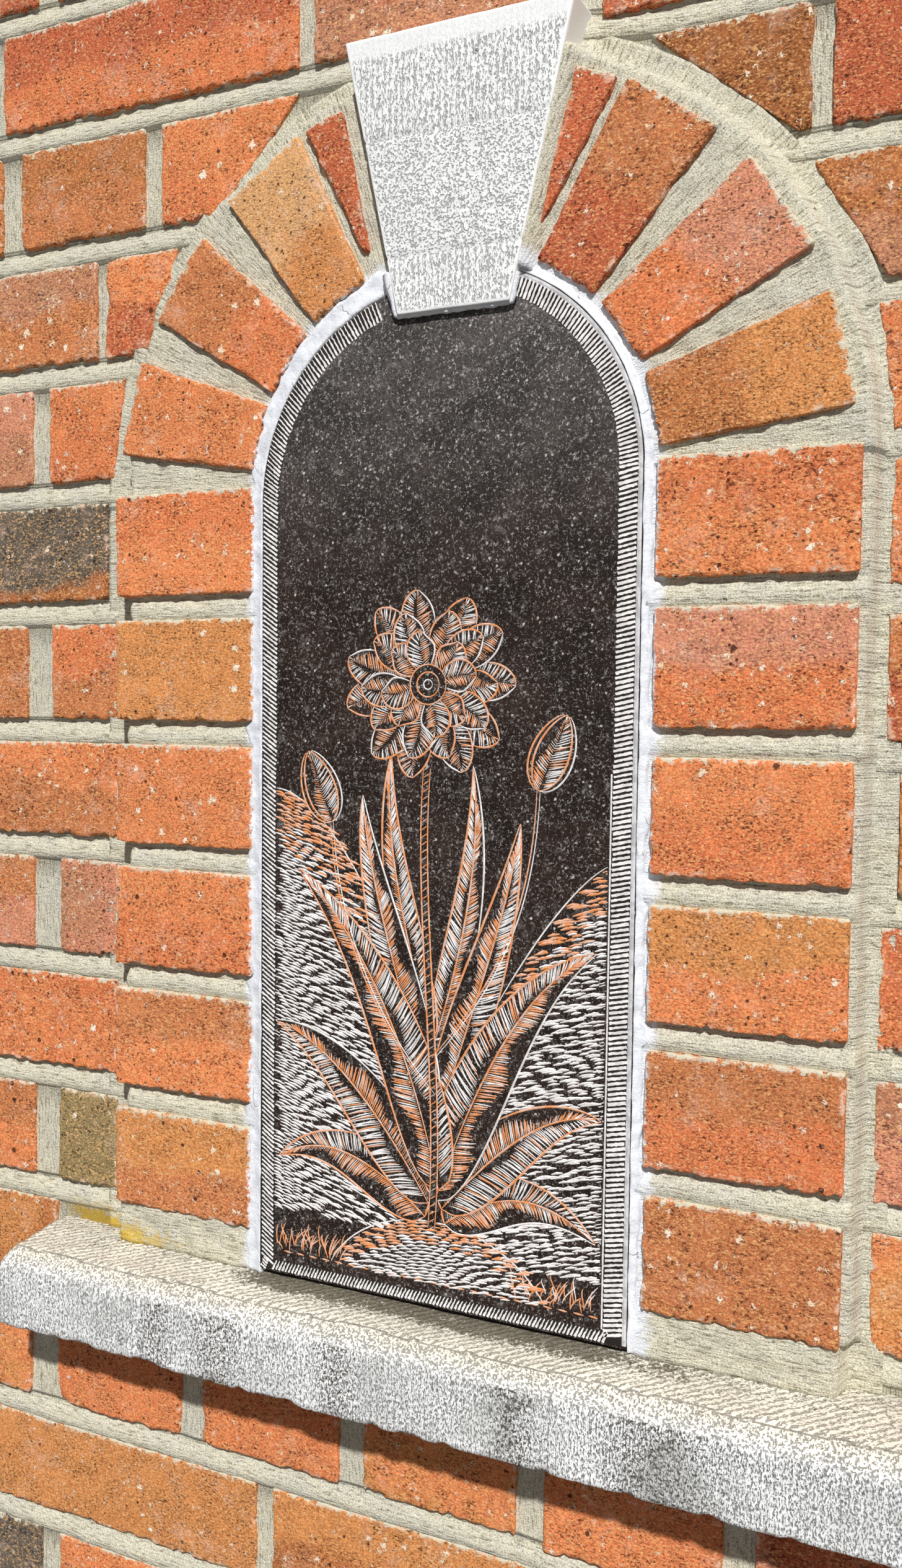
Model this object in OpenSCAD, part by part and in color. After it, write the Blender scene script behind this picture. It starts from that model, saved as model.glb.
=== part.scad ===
// Brick wayside shrine: an arched stone panel in a brick surround, with keystone and sill,
// on its own piece of wall from the ground up. Origin on the ground under the wall's centre.

/* [Brickwork] */
// Width of a brick, the side that a header shows
brick_w = 100; // [95:1:105]
// Height of a brick
brick_h = 61; // [55:0.5:65]
// Upright joint between two headers
head_joint = 16; // [10:0.5:18]
// Level joint between two courses
bed_joint = 14.5; // [12:0.5:16]
// Joint between the front leaf and the back leaf
leaf_joint = 14; // [10:1:20]

/* [Wall] */
// Headers across the width of the wall
headers_across = 9; // [7:2:13]
// Courses from the ground up to the sill
courses_below = 15; // [2:1:20]
// Courses above the keystone
courses_above = 2; // [1:1:6]

/* [Panel] */
// Width of the arched stone panel
panel_w = 225; // [200:1:240]
// Thickness of the panel
panel_t = 30; // [20:1:50]
// Width of the white joint around the panel
pointing_w = 8.5; // [6:0.5:12]
// How far the white joint lies behind the panel's face
pointing_sunk = 4; // [1:0.5:8]
// Mortar bed behind the panel
panel_bed_t = 12; // [6:1:20]
// Gap between the panel's foot and the sill
panel_gap = 3; // [2:0.5:6]
// How far the mortar in that gap lies behind the panel's face
gap_sunk = 8; // [4:1:15]

/* [Surround] */
// How far the surround stands out of the wall
surround_proud = 16; // [8:1:30]
// Joint between the surround and the wall's bricks
wall_joint = 12; // [8:1:16]
// How far the surround's mortar lies behind its bricks
mortar_sunk = 4; // [1:0.5:8]
// Bricks in each jamb
jamb_bricks = 6; // [3:1:8]
// How far the arch springs below the top of the jambs
spring_drop = 3.5; // [0:0.5:8]
// Height of the wedge bricks at the opening
wedge_inner_h = 38; // [30:1:42]
// Height of the wedge bricks at the outside
wedge_outer_h = 56; // [50:1:64]
// Wedge bricks on each side of the arch
wedges = 3; // [2:1:3]
// Angle of the lowest left wedge above the springing
left_first_angle = 15; // [13:0.5:16]
// Angle between the left wedges
left_step_angle = 21.3; // [20:0.1:22]
// Angle of the lowest right wedge above the springing
right_first_angle = 13; // [13:0.5:16]
// Angle between the right wedges
right_step_angle = 21; // [20:0.1:22]
// Width of the brick slivers beside the keystone, at the outside
sliver_outer_w = 25; // [15:1:28]
// How far the point of a sliver lies above the opening
sliver_rise = 15; // [10:1:30]
// Width of the point of a sliver
sliver_tip_w = 2; // [1:0.5:4]
// Angle of the left sliver
left_sliver_angle = 69.5; // [69:0.5:71]
// Angle of the right sliver
right_sliver_angle = 67; // [66:0.5:68]

/* [Keystone] */
// Width at the foot
keystone_foot_w = 66; // [50:1:72]
// Width at the head
keystone_head_w = 134; // [120:1:138]
// How far its foot hangs below the crown of the panel
keystone_lap = 23.5; // [10:0.5:30]
// Least height of its head above the arch
keystone_rise = 15; // [5:1:40]
// How far its face stands in front of the surround
keystone_proud = 5; // [1:0.5:20]
// How far it was set to the right of the middle
keystone_shift = 8; // [0:0.5:9]
// Joint around the keystone
keystone_joint = 5; // [3:0.5:6]

/* [Sill] */
// Length of the sill
sill_l = 572; // [520:2:640]
// Height of the sill at its back
sill_back_h = 54; // [48:0.5:60]
// Height of the upright part of its front
sill_front_h = 39; // [30:0.5:42]
// How far the sill hangs below its course
sill_drop = 3.5; // [0:0.5:8]
// How far the sill stands in front of the surround
sill_proud = 33; // [15:1:60]
// Depth of the sill behind the wall's face
sill_seat = 90; // [60:1:120]
// Depth of the worn slope along its front edge
sill_slope_d = 9; // [4:0.5:12]
// Height of that slope
sill_slope_h = 10.5; // [4:0.5:11]
// Width of the worn slope over each of its ends
sill_end_w = 9; // [4:0.5:14]

/* [Hidden] */
brick_l = 2 * brick_w + head_joint;
course = brick_h + bed_joint;
wall_w = headers_across * (brick_w + head_joint) - head_joint;
wall_t = brick_l + leaf_joint + brick_w;
wall_front = -wall_t / 2;
wall_back_face = wall_t / 2;
leaf_back = wall_front + brick_l;
surround_front = wall_front - surround_proud;
sill_front = surround_front - sill_proud;
sill_back = wall_front + sill_seat;

panel_r = panel_w / 2;
opening_r = panel_r + pointing_w;
surround_r = opening_r + brick_w;
cut_r = surround_r + wall_joint;

base_h = courses_below * course - sill_drop;
panel_foot = base_h + sill_back_h + panel_gap;
jamb_foot = (courses_below + 1) * course - panel_foot;
panel_spring = jamb_foot + jamb_bricks * course - bed_joint - spring_drop;
courses_beside = ceil((panel_foot - base_h + panel_spring + surround_r + keystone_rise) / course);
beside_h = courses_beside * course + sill_drop;
keystone_foot_z = panel_spring + panel_r - keystone_lap;
keystone_h = beside_h + base_h - panel_foot - keystone_joint - keystone_foot_z;
above_h = courses_above * course;

leaf_d = leaf_back - surround_front;
fine = 0.01;

sides = ["left", "right"];

// Stands an outline (x, height above the panel's foot) upright, from front backwards to back
module upright(front, back)
    translate([0, back, panel_foot])
        rotate([90, 0, 0])
            linear_extrude(back - front)
                children();

// An outline with straight jambs from foot up and a half-round head of radius r
module arched(r, foot = 0) {
    translate([0, panel_spring])
        circle(r, $fn = 96);
    translate([-r, foot])
        square([2 * r, panel_spring - foot]);
}

module keystone_outline(joint = 0) {
    foot = keystone_foot_w / 2 + joint;
    head = keystone_head_w / 2 + joint;
    translate([keystone_shift, keystone_foot_z])
        polygon([[-foot, -joint], [foot, -joint], [head, keystone_h + joint], [-head, keystone_h + joint]]);
}

// A wedge whose middle line leaves the arch's centre at an angle above the springing
module wedge_outline(dir, angle, r_in, h_in, h_out)
    translate([0, panel_spring])
        scale([dir, 1])
            rotate(angle)
                polygon([
                    [r_in, -h_in / 2],
                    [surround_r, -h_out / 2],
                    [surround_r, h_out / 2],
                    [r_in, h_in / 2]]);

function first_angle(dir) = dir > 0 ? right_first_angle : left_first_angle;
function step_angle(dir) = dir > 0 ? right_step_angle : left_step_angle;
function sliver_angle(dir) = dir > 0 ? right_sliver_angle : left_sliver_angle;

module jamb_outline(dir, i)
    translate([dir > 0 ? opening_r : -surround_r, jamb_foot + (i - 1) * course])
        square([brick_w, brick_h]);

module voussoir_outline(dir, i)
    wedge_outline(dir, first_angle(dir) + (i - 1) * step_angle(dir), opening_r,
        wedge_inner_h, wedge_outer_h);

module sliver_outline(dir)
    wedge_outline(dir, sliver_angle(dir), opening_r + sliver_rise, sliver_tip_w, sliver_outer_w);

module surround_brick_outlines()
    for (dir = [-1, 1]) {
        for (i = [1:jamb_bricks])
            jamb_outline(dir, i);
        for (i = [1:wedges])
            voussoir_outline(dir, i);
        sliver_outline(dir);
    }

// The mortar between the panel's joint and a line at radius r, with the keystone left out
module mortar_outline(r)
    difference() {
        union() {
            arched(r, jamb_foot);
            keystone_outline(keystone_joint);
        }
        arched(opening_r, jamb_foot - fine);
        keystone_outline();
    }

// The sill: its end profile run along its length, with both ends sloped off at the top.
// Its underside reaches lower by under, for a cut that has to pass through.
module sill_block(under = 0) {
    slope_top = sill_front_h + sill_slope_h;
    intersection() {
        translate([-sill_l / 2, 0, base_h])
            rotate([90, 0, 90])
                linear_extrude(sill_l)
                    polygon([
                        [sill_front, -under],
                        [sill_back, -under],
                        [sill_back, sill_back_h],
                        [surround_front, sill_back_h],
                        [sill_front + sill_slope_d, slope_top],
                        [sill_front, sill_front_h]]);
        translate([0, sill_back, base_h])
            rotate([90, 0, 0])
                linear_extrude(sill_back - sill_front)
                    polygon([
                        [-sill_l / 2, -under],
                        [sill_l / 2, -under],
                        [sill_l / 2, sill_front_h],
                        [sill_l / 2 - sill_end_w, sill_back_h],
                        [sill_end_w - sill_l / 2, sill_back_h],
                        [-sill_l / 2, sill_front_h]]);
    }
}

module wall_block(foot, height, front, back)
    translate([-wall_w / 2, front, foot])
        cube([wall_w, back - front, height]);

module wall_base()
    color("#b5603a")
        wall_block(0, base_h, wall_front, wall_back_face);

// Half of the front leaf, cut to the arch, the keystone and the sill
module wall_side(dir)
    color("#b5603a")
        difference() {
            intersection() {
                wall_block(base_h, beside_h, wall_front, leaf_back);
                translate([dir > 0 ? 0 : -wall_w, wall_front, base_h])
                    cube([wall_w, brick_l, beside_h]);
            }
            upright(wall_front - fine, leaf_back + fine)
                union() {
                    arched(cut_r, -panel_gap);
                    keystone_outline(keystone_joint);
                }
            sill_block(fine);
        }

module wall_back()
    color("#a95a38")
        wall_block(base_h, beside_h, leaf_back, wall_back_face);

module wall_top()
    color("#b5603a")
        wall_block(base_h + beside_h, above_h, wall_front, wall_back_face);

// A course of bricks on edge
module capping()
    color("#a44f30")
        wall_block(base_h + beside_h + above_h, brick_w, wall_front, wall_back_face);

module panel()
    color("#3a3836")
        upright(surround_front, surround_front + panel_t)
            difference() {
                arched(panel_r);
                keystone_outline(keystone_joint);
            }

module panel_pointing()
    color("#e4e6e8")
        upright(surround_front + pointing_sunk, surround_front + panel_t)
            difference() {
                arched(opening_r, -panel_gap);
                difference() {
                    arched(panel_r, -panel_gap - fine);
                    keystone_outline(keystone_joint);
                }
                keystone_outline();
            }

// Mortar behind the panel and in the gap under it
module panel_bed()
    color("#b9b4a6") {
        upright(surround_front + panel_t, surround_front + panel_t + panel_bed_t)
            difference() {
                arched(opening_r, -panel_gap);
                keystone_outline();
            }
        upright(surround_front + gap_sunk, surround_front + panel_t)
            translate([-panel_r, -panel_gap])
                square([panel_w, panel_gap]);
    }

module panel_backing()
    color("#a95a38")
        upright(surround_front + panel_t + panel_bed_t, leaf_back)
            difference() {
                arched(opening_r, -panel_gap);
                keystone_outline();
            }

module surround_mortar()
    color("#b9b4a6") {
        upright(surround_front + mortar_sunk, surround_front + brick_l)
            difference() {
                mortar_outline(surround_r);
                surround_brick_outlines();
            }
        upright(wall_front + mortar_sunk, surround_front + brick_l)
            difference() {
                mortar_outline(cut_r);
                mortar_outline(surround_r);
                surround_brick_outlines();
            }
        upright(surround_front + brick_l, leaf_back)
            mortar_outline(cut_r);
    }

module sill_mortar()
    color("#b9b4a6")
        for (dir = [-1, 1]) {
            upright(surround_front + mortar_sunk, leaf_back)
                translate([dir > 0 ? opening_r : -surround_r, -panel_gap])
                    square([brick_w, jamb_foot + panel_gap]);
            upright(wall_front + mortar_sunk, leaf_back)
                translate([dir > 0 ? surround_r : -cut_r, -panel_gap])
                    square([wall_joint, jamb_foot + panel_gap]);
        }

module jamb_brick(dir, i)
    color(i % 2 == 0 ? "#c06038" : "#cc6a3c")
        upright(surround_front, surround_front + brick_l)
            jamb_outline(dir, i);

module voussoir(dir, i)
    color(i % 2 == 0 ? "#c8793f" : "#c4613a")
        upright(surround_front, surround_front + brick_l)
            voussoir_outline(dir, i);

module sliver(dir)
    color("#b9583a")
        upright(surround_front, surround_front + brick_l)
            sliver_outline(dir);

module keystone()
    color("#dcdcd8")
        upright(surround_front - keystone_proud, leaf_back)
            keystone_outline();

module sill()
    color("#bdbbb4")
        sill_block();

wall_base();
wall_side(-1);  // wall_left
wall_side(1);  // wall_right
wall_back();
wall_top();
capping();
panel_backing();
panel_bed();
panel();
panel_pointing();
surround_mortar();
sill();
sill_mortar();
keystone();
sliver(-1);  // sliver_left
sliver(1);  // sliver_right
for (s = [0, 1], i = [1:jamb_bricks])
    jamb_brick(2 * s - 1, i);
for (s = [0, 1], i = [1:wedges])
    voussoir(2 * s - 1, i);
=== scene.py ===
# A brick wayside shrine: arched stone panel, brick surround, keystone and sill on its own wall.
import math

import bmesh
import bpy
import numpy as np
from mathutils import Matrix, Vector


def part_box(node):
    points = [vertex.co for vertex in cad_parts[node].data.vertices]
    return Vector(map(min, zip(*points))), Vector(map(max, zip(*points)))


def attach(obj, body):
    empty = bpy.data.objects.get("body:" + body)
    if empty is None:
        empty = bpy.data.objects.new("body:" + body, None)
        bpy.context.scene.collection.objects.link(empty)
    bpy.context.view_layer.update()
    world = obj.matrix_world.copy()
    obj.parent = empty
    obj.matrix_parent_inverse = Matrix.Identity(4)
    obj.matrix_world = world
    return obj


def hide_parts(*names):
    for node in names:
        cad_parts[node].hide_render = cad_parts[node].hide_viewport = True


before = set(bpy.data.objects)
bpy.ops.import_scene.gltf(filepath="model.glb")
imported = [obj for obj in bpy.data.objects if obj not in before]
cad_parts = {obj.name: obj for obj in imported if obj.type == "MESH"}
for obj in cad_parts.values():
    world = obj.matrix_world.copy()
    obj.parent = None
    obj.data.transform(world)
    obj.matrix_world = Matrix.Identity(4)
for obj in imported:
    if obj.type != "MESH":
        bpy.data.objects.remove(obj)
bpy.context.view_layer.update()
scene = bpy.context.scene
mm = 0.001

# What the rest is set out from, read off the frame
panelLow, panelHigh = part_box("panel")
jambLow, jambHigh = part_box("jamb_left_1")
wallLow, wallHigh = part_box("wall_base")
capLow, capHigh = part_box("capping")
footZ, faceY, wallY, backY = panelLow.z, panelLow.y, wallLow.y, wallHigh.y
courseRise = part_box("jamb_left_2")[0].z - jambLow.z
brickRise = jambHigh.z - jambLow.z
openingR, surroundR = -jambHigh.x, -jambLow.x
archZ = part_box("jamb_left_6")[1].z - 3.5 * mm  # the jambs end a little above the springing


def say(text):
    print("shrine:", text, flush=True)


def putIn(name, data):
    made = bpy.data.objects.new(name, data)
    scene.collection.objects.link(made)
    return made


# Tones given on the usual 0 to 255 scale
tones = {
    "orange": (219, 129, 80),
    "orangeRed": (212, 119, 74),
    "red": (186, 95, 62),
    "ochre": (202, 132, 77),
    "ochreBrown": (179, 109, 63),
    "umber": (160, 97, 54),
    "pink": (203, 131, 103),
    "pinkBrown": (181, 121, 91),
    "sand": (212, 159, 108),
    "tan": (192, 117, 73),
    "olive": (146, 126, 86),
    "burnt": (98, 89, 78),
    "burntBrown": (124, 96, 75),
    "limed": (238, 204, 180),
    "mortar": (214, 208, 185),
    "mortarDark": (184, 174, 148),
    "grit": (252, 240, 220),
    "gritBuff": (244, 190, 128),
    # Painted shade inside pits and holes in the brick
    "pitShade": (72, 34, 22),
    "core": (96, 60, 44),
    "white": (236, 238, 242),
    "whiteDull": (218, 220, 225),
    "chalk": (246, 246, 244),
    "beige": (200, 187, 156),
    # Painted shade in the hollows of clean tool marks
    "hollowShade": (196, 196, 194),
    "greyStone": (186, 186, 181),
    "deepGrey": (112, 110, 102),
    "slate": (93, 88, 86),
    "slateDark": (65, 61, 59),
    "fleck": (206, 200, 194),
    "rimGrey": (214, 212, 212),
    "rimDull": (184, 182, 182),
    "cutWhite": (244, 240, 236),
    "cutGrey": (222, 216, 213),
    "groove": (48, 44, 42),
    "grooveDark": (36, 33, 31),
    "copper": (228, 148, 92),
    "copperPink": (232, 182, 154),
    "moss": (84, 74, 54),
    "lichen": (214, 178, 62),
    "floor": (208, 206, 202),
    "floorDull": (116, 114, 111),
}


def tone(name):
    return tuple(
        c / 255 / 12.92 if c < 10.3 else ((c / 255 + 0.055) / 1.055) ** 2.4
        for c in tones[name]
    )


def writes(operation, reflected=False):
    def operator(self, other):
        pair = (other, self) if reflected else (self, other)
        return self.graph.maths(operation, *pair)

    return operator


class Wire:
    # An output socket; sums written with it add Math or Vector Math nodes
    def __init__(self, graph, socket):
        self.graph, self.socket = graph, socket

    __add__, __radd__ = writes("ADD"), writes("ADD", True)
    __sub__, __rsub__ = writes("SUBTRACT"), writes("SUBTRACT", True)
    __mul__, __rmul__ = writes("MULTIPLY"), writes("MULTIPLY", True)
    __truediv__, __rtruediv__ = writes("DIVIDE"), writes("DIVIDE", True)

    def __neg__(self):
        return self * -1


def isVector(value):
    if isinstance(value, Wire):
        return value.socket.type in ("VECTOR", "RGBA")
    return isinstance(value, (tuple, list))


class Graph:
    # Adds nodes to the tree of a material, of the world or of a geometry modifier
    def __init__(self, tree):
        self.tree = tree

    def node(self, kind, settings=None, sockets=None):
        made = self.tree.nodes.new(kind)
        for name, value in (settings or {}).items():
            setattr(made, name, value)
        for name, value in (sockets or {}).items():
            socket = made.inputs[name]
            if isinstance(value, Wire):
                self.tree.links.new(value.socket, socket)
            elif socket.type == "RGBA":
                socket.default_value = (*value[:3], 1)
            else:
                socket.default_value = value
        return made

    def out(self, kind, settings=None, sockets=None, output=0):
        return Wire(self, self.node(kind, settings, sockets).outputs[output])

    def maths(self, operation, *values):
        kind, output = "ShaderNodeMath", 0
        if any(isVector(v) for v in values):
            kind, output = "ShaderNodeVectorMath", 1 if operation == "LENGTH" else 0
            values = [(v,) * 3 if isinstance(v, (int, float)) else v for v in values]
        return self.out(kind, {"operation": operation}, dict(enumerate(values)), output)

    def smooth(self, value, low, high):
        sockets = {"Value": value, "From Min": low, "From Max": high}
        return self.out("ShaderNodeMapRange", {"interpolation_type": "SMOOTHSTEP"}, sockets)

    def band(self, value, *edges):
        # 1 between the middle two of four edges in millimetres, 0 outside the outer two
        start, full, ebb, end = (edge * mm for edge in edges)
        return self.smooth(value, start, full) * self.smooth(value, end, ebb)

    def split(self, vector):
        made = self.node("ShaderNodeSeparateXYZ", None, {0: vector})
        return [Wire(self, output) for output in made.outputs]

    def join(self, x, y, z):
        return self.out("ShaderNodeCombineXYZ", None, {"X": x, "Y": y, "Z": z})

    def noise(self, place, size, detail=2.0, rough=0.5, warp=0.0):
        sockets = {"Vector": place, "Scale": 1 / size, "Detail": detail}
        sockets.update({"Roughness": rough, "Distortion": warp})
        return self.out("ShaderNodeTexNoise", None, sockets)

    def shake(self, place, size, detail, rough, reach):
        # Noise about nought, reach wide
        return (self.noise(place, size, detail, rough) - 0.5) * reach

    def patches(self, place, size, low, high, detail=2.0, rough=0.5):
        return self.smooth(self.noise(place, size, detail, rough), low, high)

    def mix(self, factor, first, second):
        sockets = {0: factor, 6: first, 7: second}
        return self.out("ShaderNodeMix", {"data_type": "RGBA"}, sockets, 2)

    def coats(self, colour, *layers):
        # Lays a tone over the colour for each mask, in turn
        for mask, cover in layers:
            colour = self.mix(mask, colour, tone(cover) if isinstance(cover, str) else cover)
        return colour

    def grit(self, place, cell, share, smallest, largest):
        # Scattered grains: a mask, and a random number for each grain
        sockets = {"Vector": place, "Scale": 1 / cell, "Randomness": 1.0}
        made = self.node("ShaderNodeTexVoronoi", None, sockets)
        picks = self.split(Wire(self, made.outputs["Color"]))
        reach = picks[1] * ((largest - smallest) / cell) + smallest / cell
        mask = self.smooth(reach - Wire(self, made.outputs["Distance"]), 0.0, 0.05)
        return mask * self.maths("LESS_THAN", picks[0], share), picks[2]

    def attribute(self, name, output="Fac"):
        return self.out("ShaderNodeAttribute", {"attribute_name": name}, None, output)

    def surface(self, colour, roughness, height, specular):
        # height is in metres
        bump = {"Strength": 1.0, "Distance": 1.0, "Height": height}
        sockets = {"Base Color": colour, "Roughness": roughness, "Specular IOR Level": specular}
        sockets["Normal"] = self.out("ShaderNodeBump", None, bump)
        shader = self.out("ShaderNodeBsdfPrincipled", None, sockets)
        self.node("ShaderNodeOutputMaterial", None, {"Surface": shader})


def newFinish(name):
    material = bpy.data.materials.new(name)
    material.use_nodes = True
    material.node_tree.nodes.clear()
    graph = Graph(material.node_tree)
    return material, graph, graph.out("ShaderNodeTexCoord", output="Object")


def whiteSmear(g, place, size, rough, spread, reach, depth):
    # White mortar smeared out from the joint round the panel: how far, and how deep in
    x, y, z = g.split(place)
    above = g.maths("MAXIMUM", z - archZ, 0.0)
    away = g.maths("SQRT", x * x + above * above) + g.shake(place, size, 4, rough, spread)
    outer, inner = (openingR + r for r in reach)
    rear, front = (faceY + d for d in depth)
    return g.smooth(away, outer, inner) * g.smooth(y, rear, front) * 0.9


# Of each kind of grain: the cell it lies in, the share of cells with one, smallest and largest
clay = {
    "shadeSize": 48 * mm,
    "grain": 1.4 * mm,
    "tear": 0.8 * mm,
    "pits": (4.5 * mm, 0.5, 0.3 * mm, 0.9 * mm),
    "holes": (13 * mm, 0.33, 0.8 * mm, 1.9 * mm),
    "pitDepth": 2.0 * mm,
    "crumbs": (2.1 * mm, 0.5, 0.25 * mm, 0.65 * mm),
    "chips": (5 * mm, 0.52, 0.42 * mm, 1.25 * mm),
    "pebbles": (12 * mm, 0.5, 1.1 * mm, 2.6 * mm),
    "uneven": 8 * mm,
    "smear": (3.4 * mm, 0.75, 9 * mm, (1.2 * mm, 0.0), (12 * mm, 6 * mm)),
    "roughness": 0.9,
}


def firedClay(settings):
    # A dragged face: torn in small ledges with painted shade under them and a painted highlight on
    # their raised bits, with pale crumbs and grains, pits painted dark as the shade inside them, and a
    # little lime
    material, g, place = newFinish("firedClay")
    spot = place + g.attribute("salt") * (0.31, 0.17, 0.53)
    patch = g.noise(spot, 11 * mm, 3, 0.6)
    fine = g.noise(spot, 1.15 * mm, 3, 0.7)
    torn = g.noise(spot * (0.7, 0.7, 1.25), settings["grain"], 3, 0.66, 0.6)
    calm = g.patches(spot, 24 * mm, 0.5, 0.64) * 0.7
    # Painted shade under the small torn ledges, and a painted highlight on the raised bits between
    # them
    ledgeShade = g.smooth(torn + (patch - 0.5) * 0.22, 0.43, 0.36) * (1 - calm)
    raisedHighlight = g.smooth(torn - (patch - 0.5) * 0.1, 0.54, 0.62)

    warped = spot + g.shake(spot, 0.9 * mm, 3, 0.7, 2.6 * mm)
    pits, holes = (g.grit(warped, *settings[kind])[0] for kind in ("pits", "holes"))
    pits = g.maths("MAXIMUM", pits, holes)
    crumbs, crumbPick = g.grit(warped, *settings["crumbs"])
    ways = [g.shake(spot * way, 1.8 * mm, 2, 0.6, settings["uneven"]) for way in (1.0, 1.3)]
    uneven = spot + g.join(ways[0], 0.0, ways[1])
    chips, chipPick = g.grit(uneven, *settings["chips"])
    grains = g.maths("MAXIMUM", chips, g.grit(uneven, *settings["pebbles"])[0])
    grainTone = g.mix(chipPick * 0.5, tone("grit"), tone("gritBuff"))

    haze = g.noise(spot, 9 * mm, 4, 0.72)
    rim = g.attribute("rim") + (fine - 0.5) * 4 * mm
    dusty = g.smooth(haze, 0.54, 0.62) * g.smooth(rim, 4 * mm, 0.8 * mm)
    film = g.patches(spot, 26 * mm, 0.5, 0.68, 4, 0.7) * g.smooth(haze, 0.4, 0.6)
    film = film * (0.5 + 0.8 * raisedHighlight)
    lime = g.maths("MAXIMUM", dusty * 0.75, film * 0.42)
    brim = g.attribute("top") + g.shake(spot, 5 * mm, 5, 0.78, 20 * mm)

    broad = g.noise(spot, settings["shadeSize"], 3, 0.6) + g.attribute("level")
    fired = g.mix(
        g.smooth(broad, 0.4, 0.62), g.attribute("tint", "Color"), g.attribute("second", "Color")
    )
    shade = (0.92 + 0.16 * g.smooth(patch, 0.3, 0.7)) * (0.72 + 0.56 * g.smooth(fine, 0.38, 0.62))
    colour = g.coats(
        # Painted shade under the ledges
        g.maths("MAXIMUM", fired, tone("core")) * (shade * (1.06 - 0.85 * ledgeShade)),
        # Painted highlight on the raised bits
        (raisedHighlight * 0.6, "gritBuff"),
        # Painted shade inside the pits and holes
        (pits * 0.9, "pitShade"),
        (crumbs * (0.35 + 0.65 * crumbPick), "gritBuff"),
        (grains * 0.95, grainTone),
        (lime, "limed"),
        (g.smooth(brim, 1.8 * mm, 0.6 * mm) * 0.92, "mortar"),  # left ragged along the top
        (whiteSmear(g, place, *settings["smear"]), "white"),
    )
    height = (torn - 0.5) * (settings["tear"] * (1 - 0.6 * calm)) + (fine - 0.5) * 0.2 * mm
    height = height + (patch - 0.5) * mm - pits * settings["pitDepth"] + grains * 0.3 * mm
    g.surface(colour, settings["roughness"] - 0.15 * grains, height, 0.25)
    return material


mortarMix = {
    "streak": 1.4 * mm,
    "streakDepth": 1.3 * mm,
    "sand": (2.2 * mm, 0.5, 0.25 * mm, 0.75 * mm),
    "sandDepth": 0.8 * mm,
    "holes": (12 * mm, 0.2, 0.4 * mm, 1.3 * mm),
    "holeDepth": 1.2 * mm,
    "smear": (4 * mm, 0.7, 16 * mm, (7 * mm, 1 * mm), (14 * mm, 9 * mm)),
    # Where lichen grows, left to right, and up from the panel's foot, in millimetres
    "lichenAcross": (-285, -262, -212, -150),
    "lichenUp": (-30, -20, 1, 16),
    "roughness": 0.95,
}


def sandMortar(settings):
    # "brushed" runs along the strokes of the brush
    material, g, place = newFinish("sandMortar")
    brushed = g.attribute("brushed", "Vector") * (0.15, 1.0, 1.0)
    streak = g.noise(brushed, settings["streak"], 3, 0.62, 0.25)
    fine = g.noise(place, 0.85 * mm, 2, 0.65)
    base = g.mix(g.smooth(streak, 0.34, 0.52), tone("mortarDark"), tone("mortar"))
    base = g.coats(base, (g.patches(place, 30 * mm, 0.35, 0.7, 3, 0.6) * 0.3, "greyStone"))
    # Painted shade in the deepest hollows of the brushed streaks, drawn as thin dark lines like fine
    # cracks
    streakShade = g.smooth(streak + (fine - 0.5) * 0.3, 0.4, 0.34)
    sand, pick = g.grit(place, *settings["sand"])
    # Small holes, sunk into the bump and painted dark grey as the shade inside them
    holes = g.grit(place, *settings["holes"])[0]
    x, y, z = g.split(place)
    where = g.band(x, *settings["lichenAcross"])
    low = g.band(z - footZ, *settings["lichenUp"])
    growth = g.noise(place, 6 * mm, 5, 0.75) + low * where * 0.16
    colour = g.coats(
        base * (0.7 + 0.52 * g.smooth(fine, 0.32, 0.62)),
        # Painted shade in the streak hollows
        (streakShade * 0.55, "deepGrey"),
        (sand * 0.75, g.mix(pick, tone("deepGrey"), tone("chalk"))),
        # Painted shade inside the holes
        (holes * 0.6, "deepGrey"),
        (whiteSmear(g, place, *settings["smear"]), "white"),
        (g.smooth(growth, 0.55, 0.62) * low * where * 0.9, "lichen"),
    )
    height = (streak - 0.5) * settings["streakDepth"] + (fine - 0.5) * settings["sandDepth"]
    height = height - holes * settings["holeDepth"] + sand * 0.15 * mm
    g.surface(colour, settings["roughness"], height, 0.2)
    return material


def whiteMortar():
    material, g, place = newFinish("whiteMortar")
    cloud = g.noise(place, 9 * mm, 4, 0.6)
    fine = g.noise(place, 1.0 * mm, 3, 0.6)
    dust = g.patches(place, 2.6 * mm, 0.56, 0.68, 4, 0.75)
    veins = g.smooth(g.maths("ABSOLUTE", g.noise(place, 22 * mm, 3) - 0.5), 0.012, 0.0)
    cracks = veins * g.patches(place, 14 * mm, 0.58, 0.66, 1)
    colour = g.mix(g.smooth(cloud, 0.38, 0.68), tone("white"), tone("whiteDull"))
    colour = g.coats(colour, (dust * 0.3, "greyStone")) * (0.92 + 0.12 * fine)
    colour = g.coats(colour, (cracks * 0.5, "deepGrey"))
    height = (cloud - 0.5) * 1.4 * mm + (fine - 0.5) * 0.3 * mm - cracks * 0.4 * mm
    g.surface(colour, 0.75, height, 0.3)
    return material


# Its ground is darker below the head, by the share of each colour
darkSlate = {
    "lowShare": (0.27, 0.165, 0.125),
    "dust": (1.5 * mm, 0.45, 0.1 * mm, 0.42 * mm),
    "flecks": (4 * mm, 0.55, 0.35 * mm, 0.95 * mm),
    "shells": (17 * mm, 0.42, 1.0 * mm, 2.9 * mm),
    "shellHollows": (17 * mm, 0.42, 0.3 * mm, 2.1 * mm),
    "roughness": 0.5,
    "specular": 0.2,
}


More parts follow.
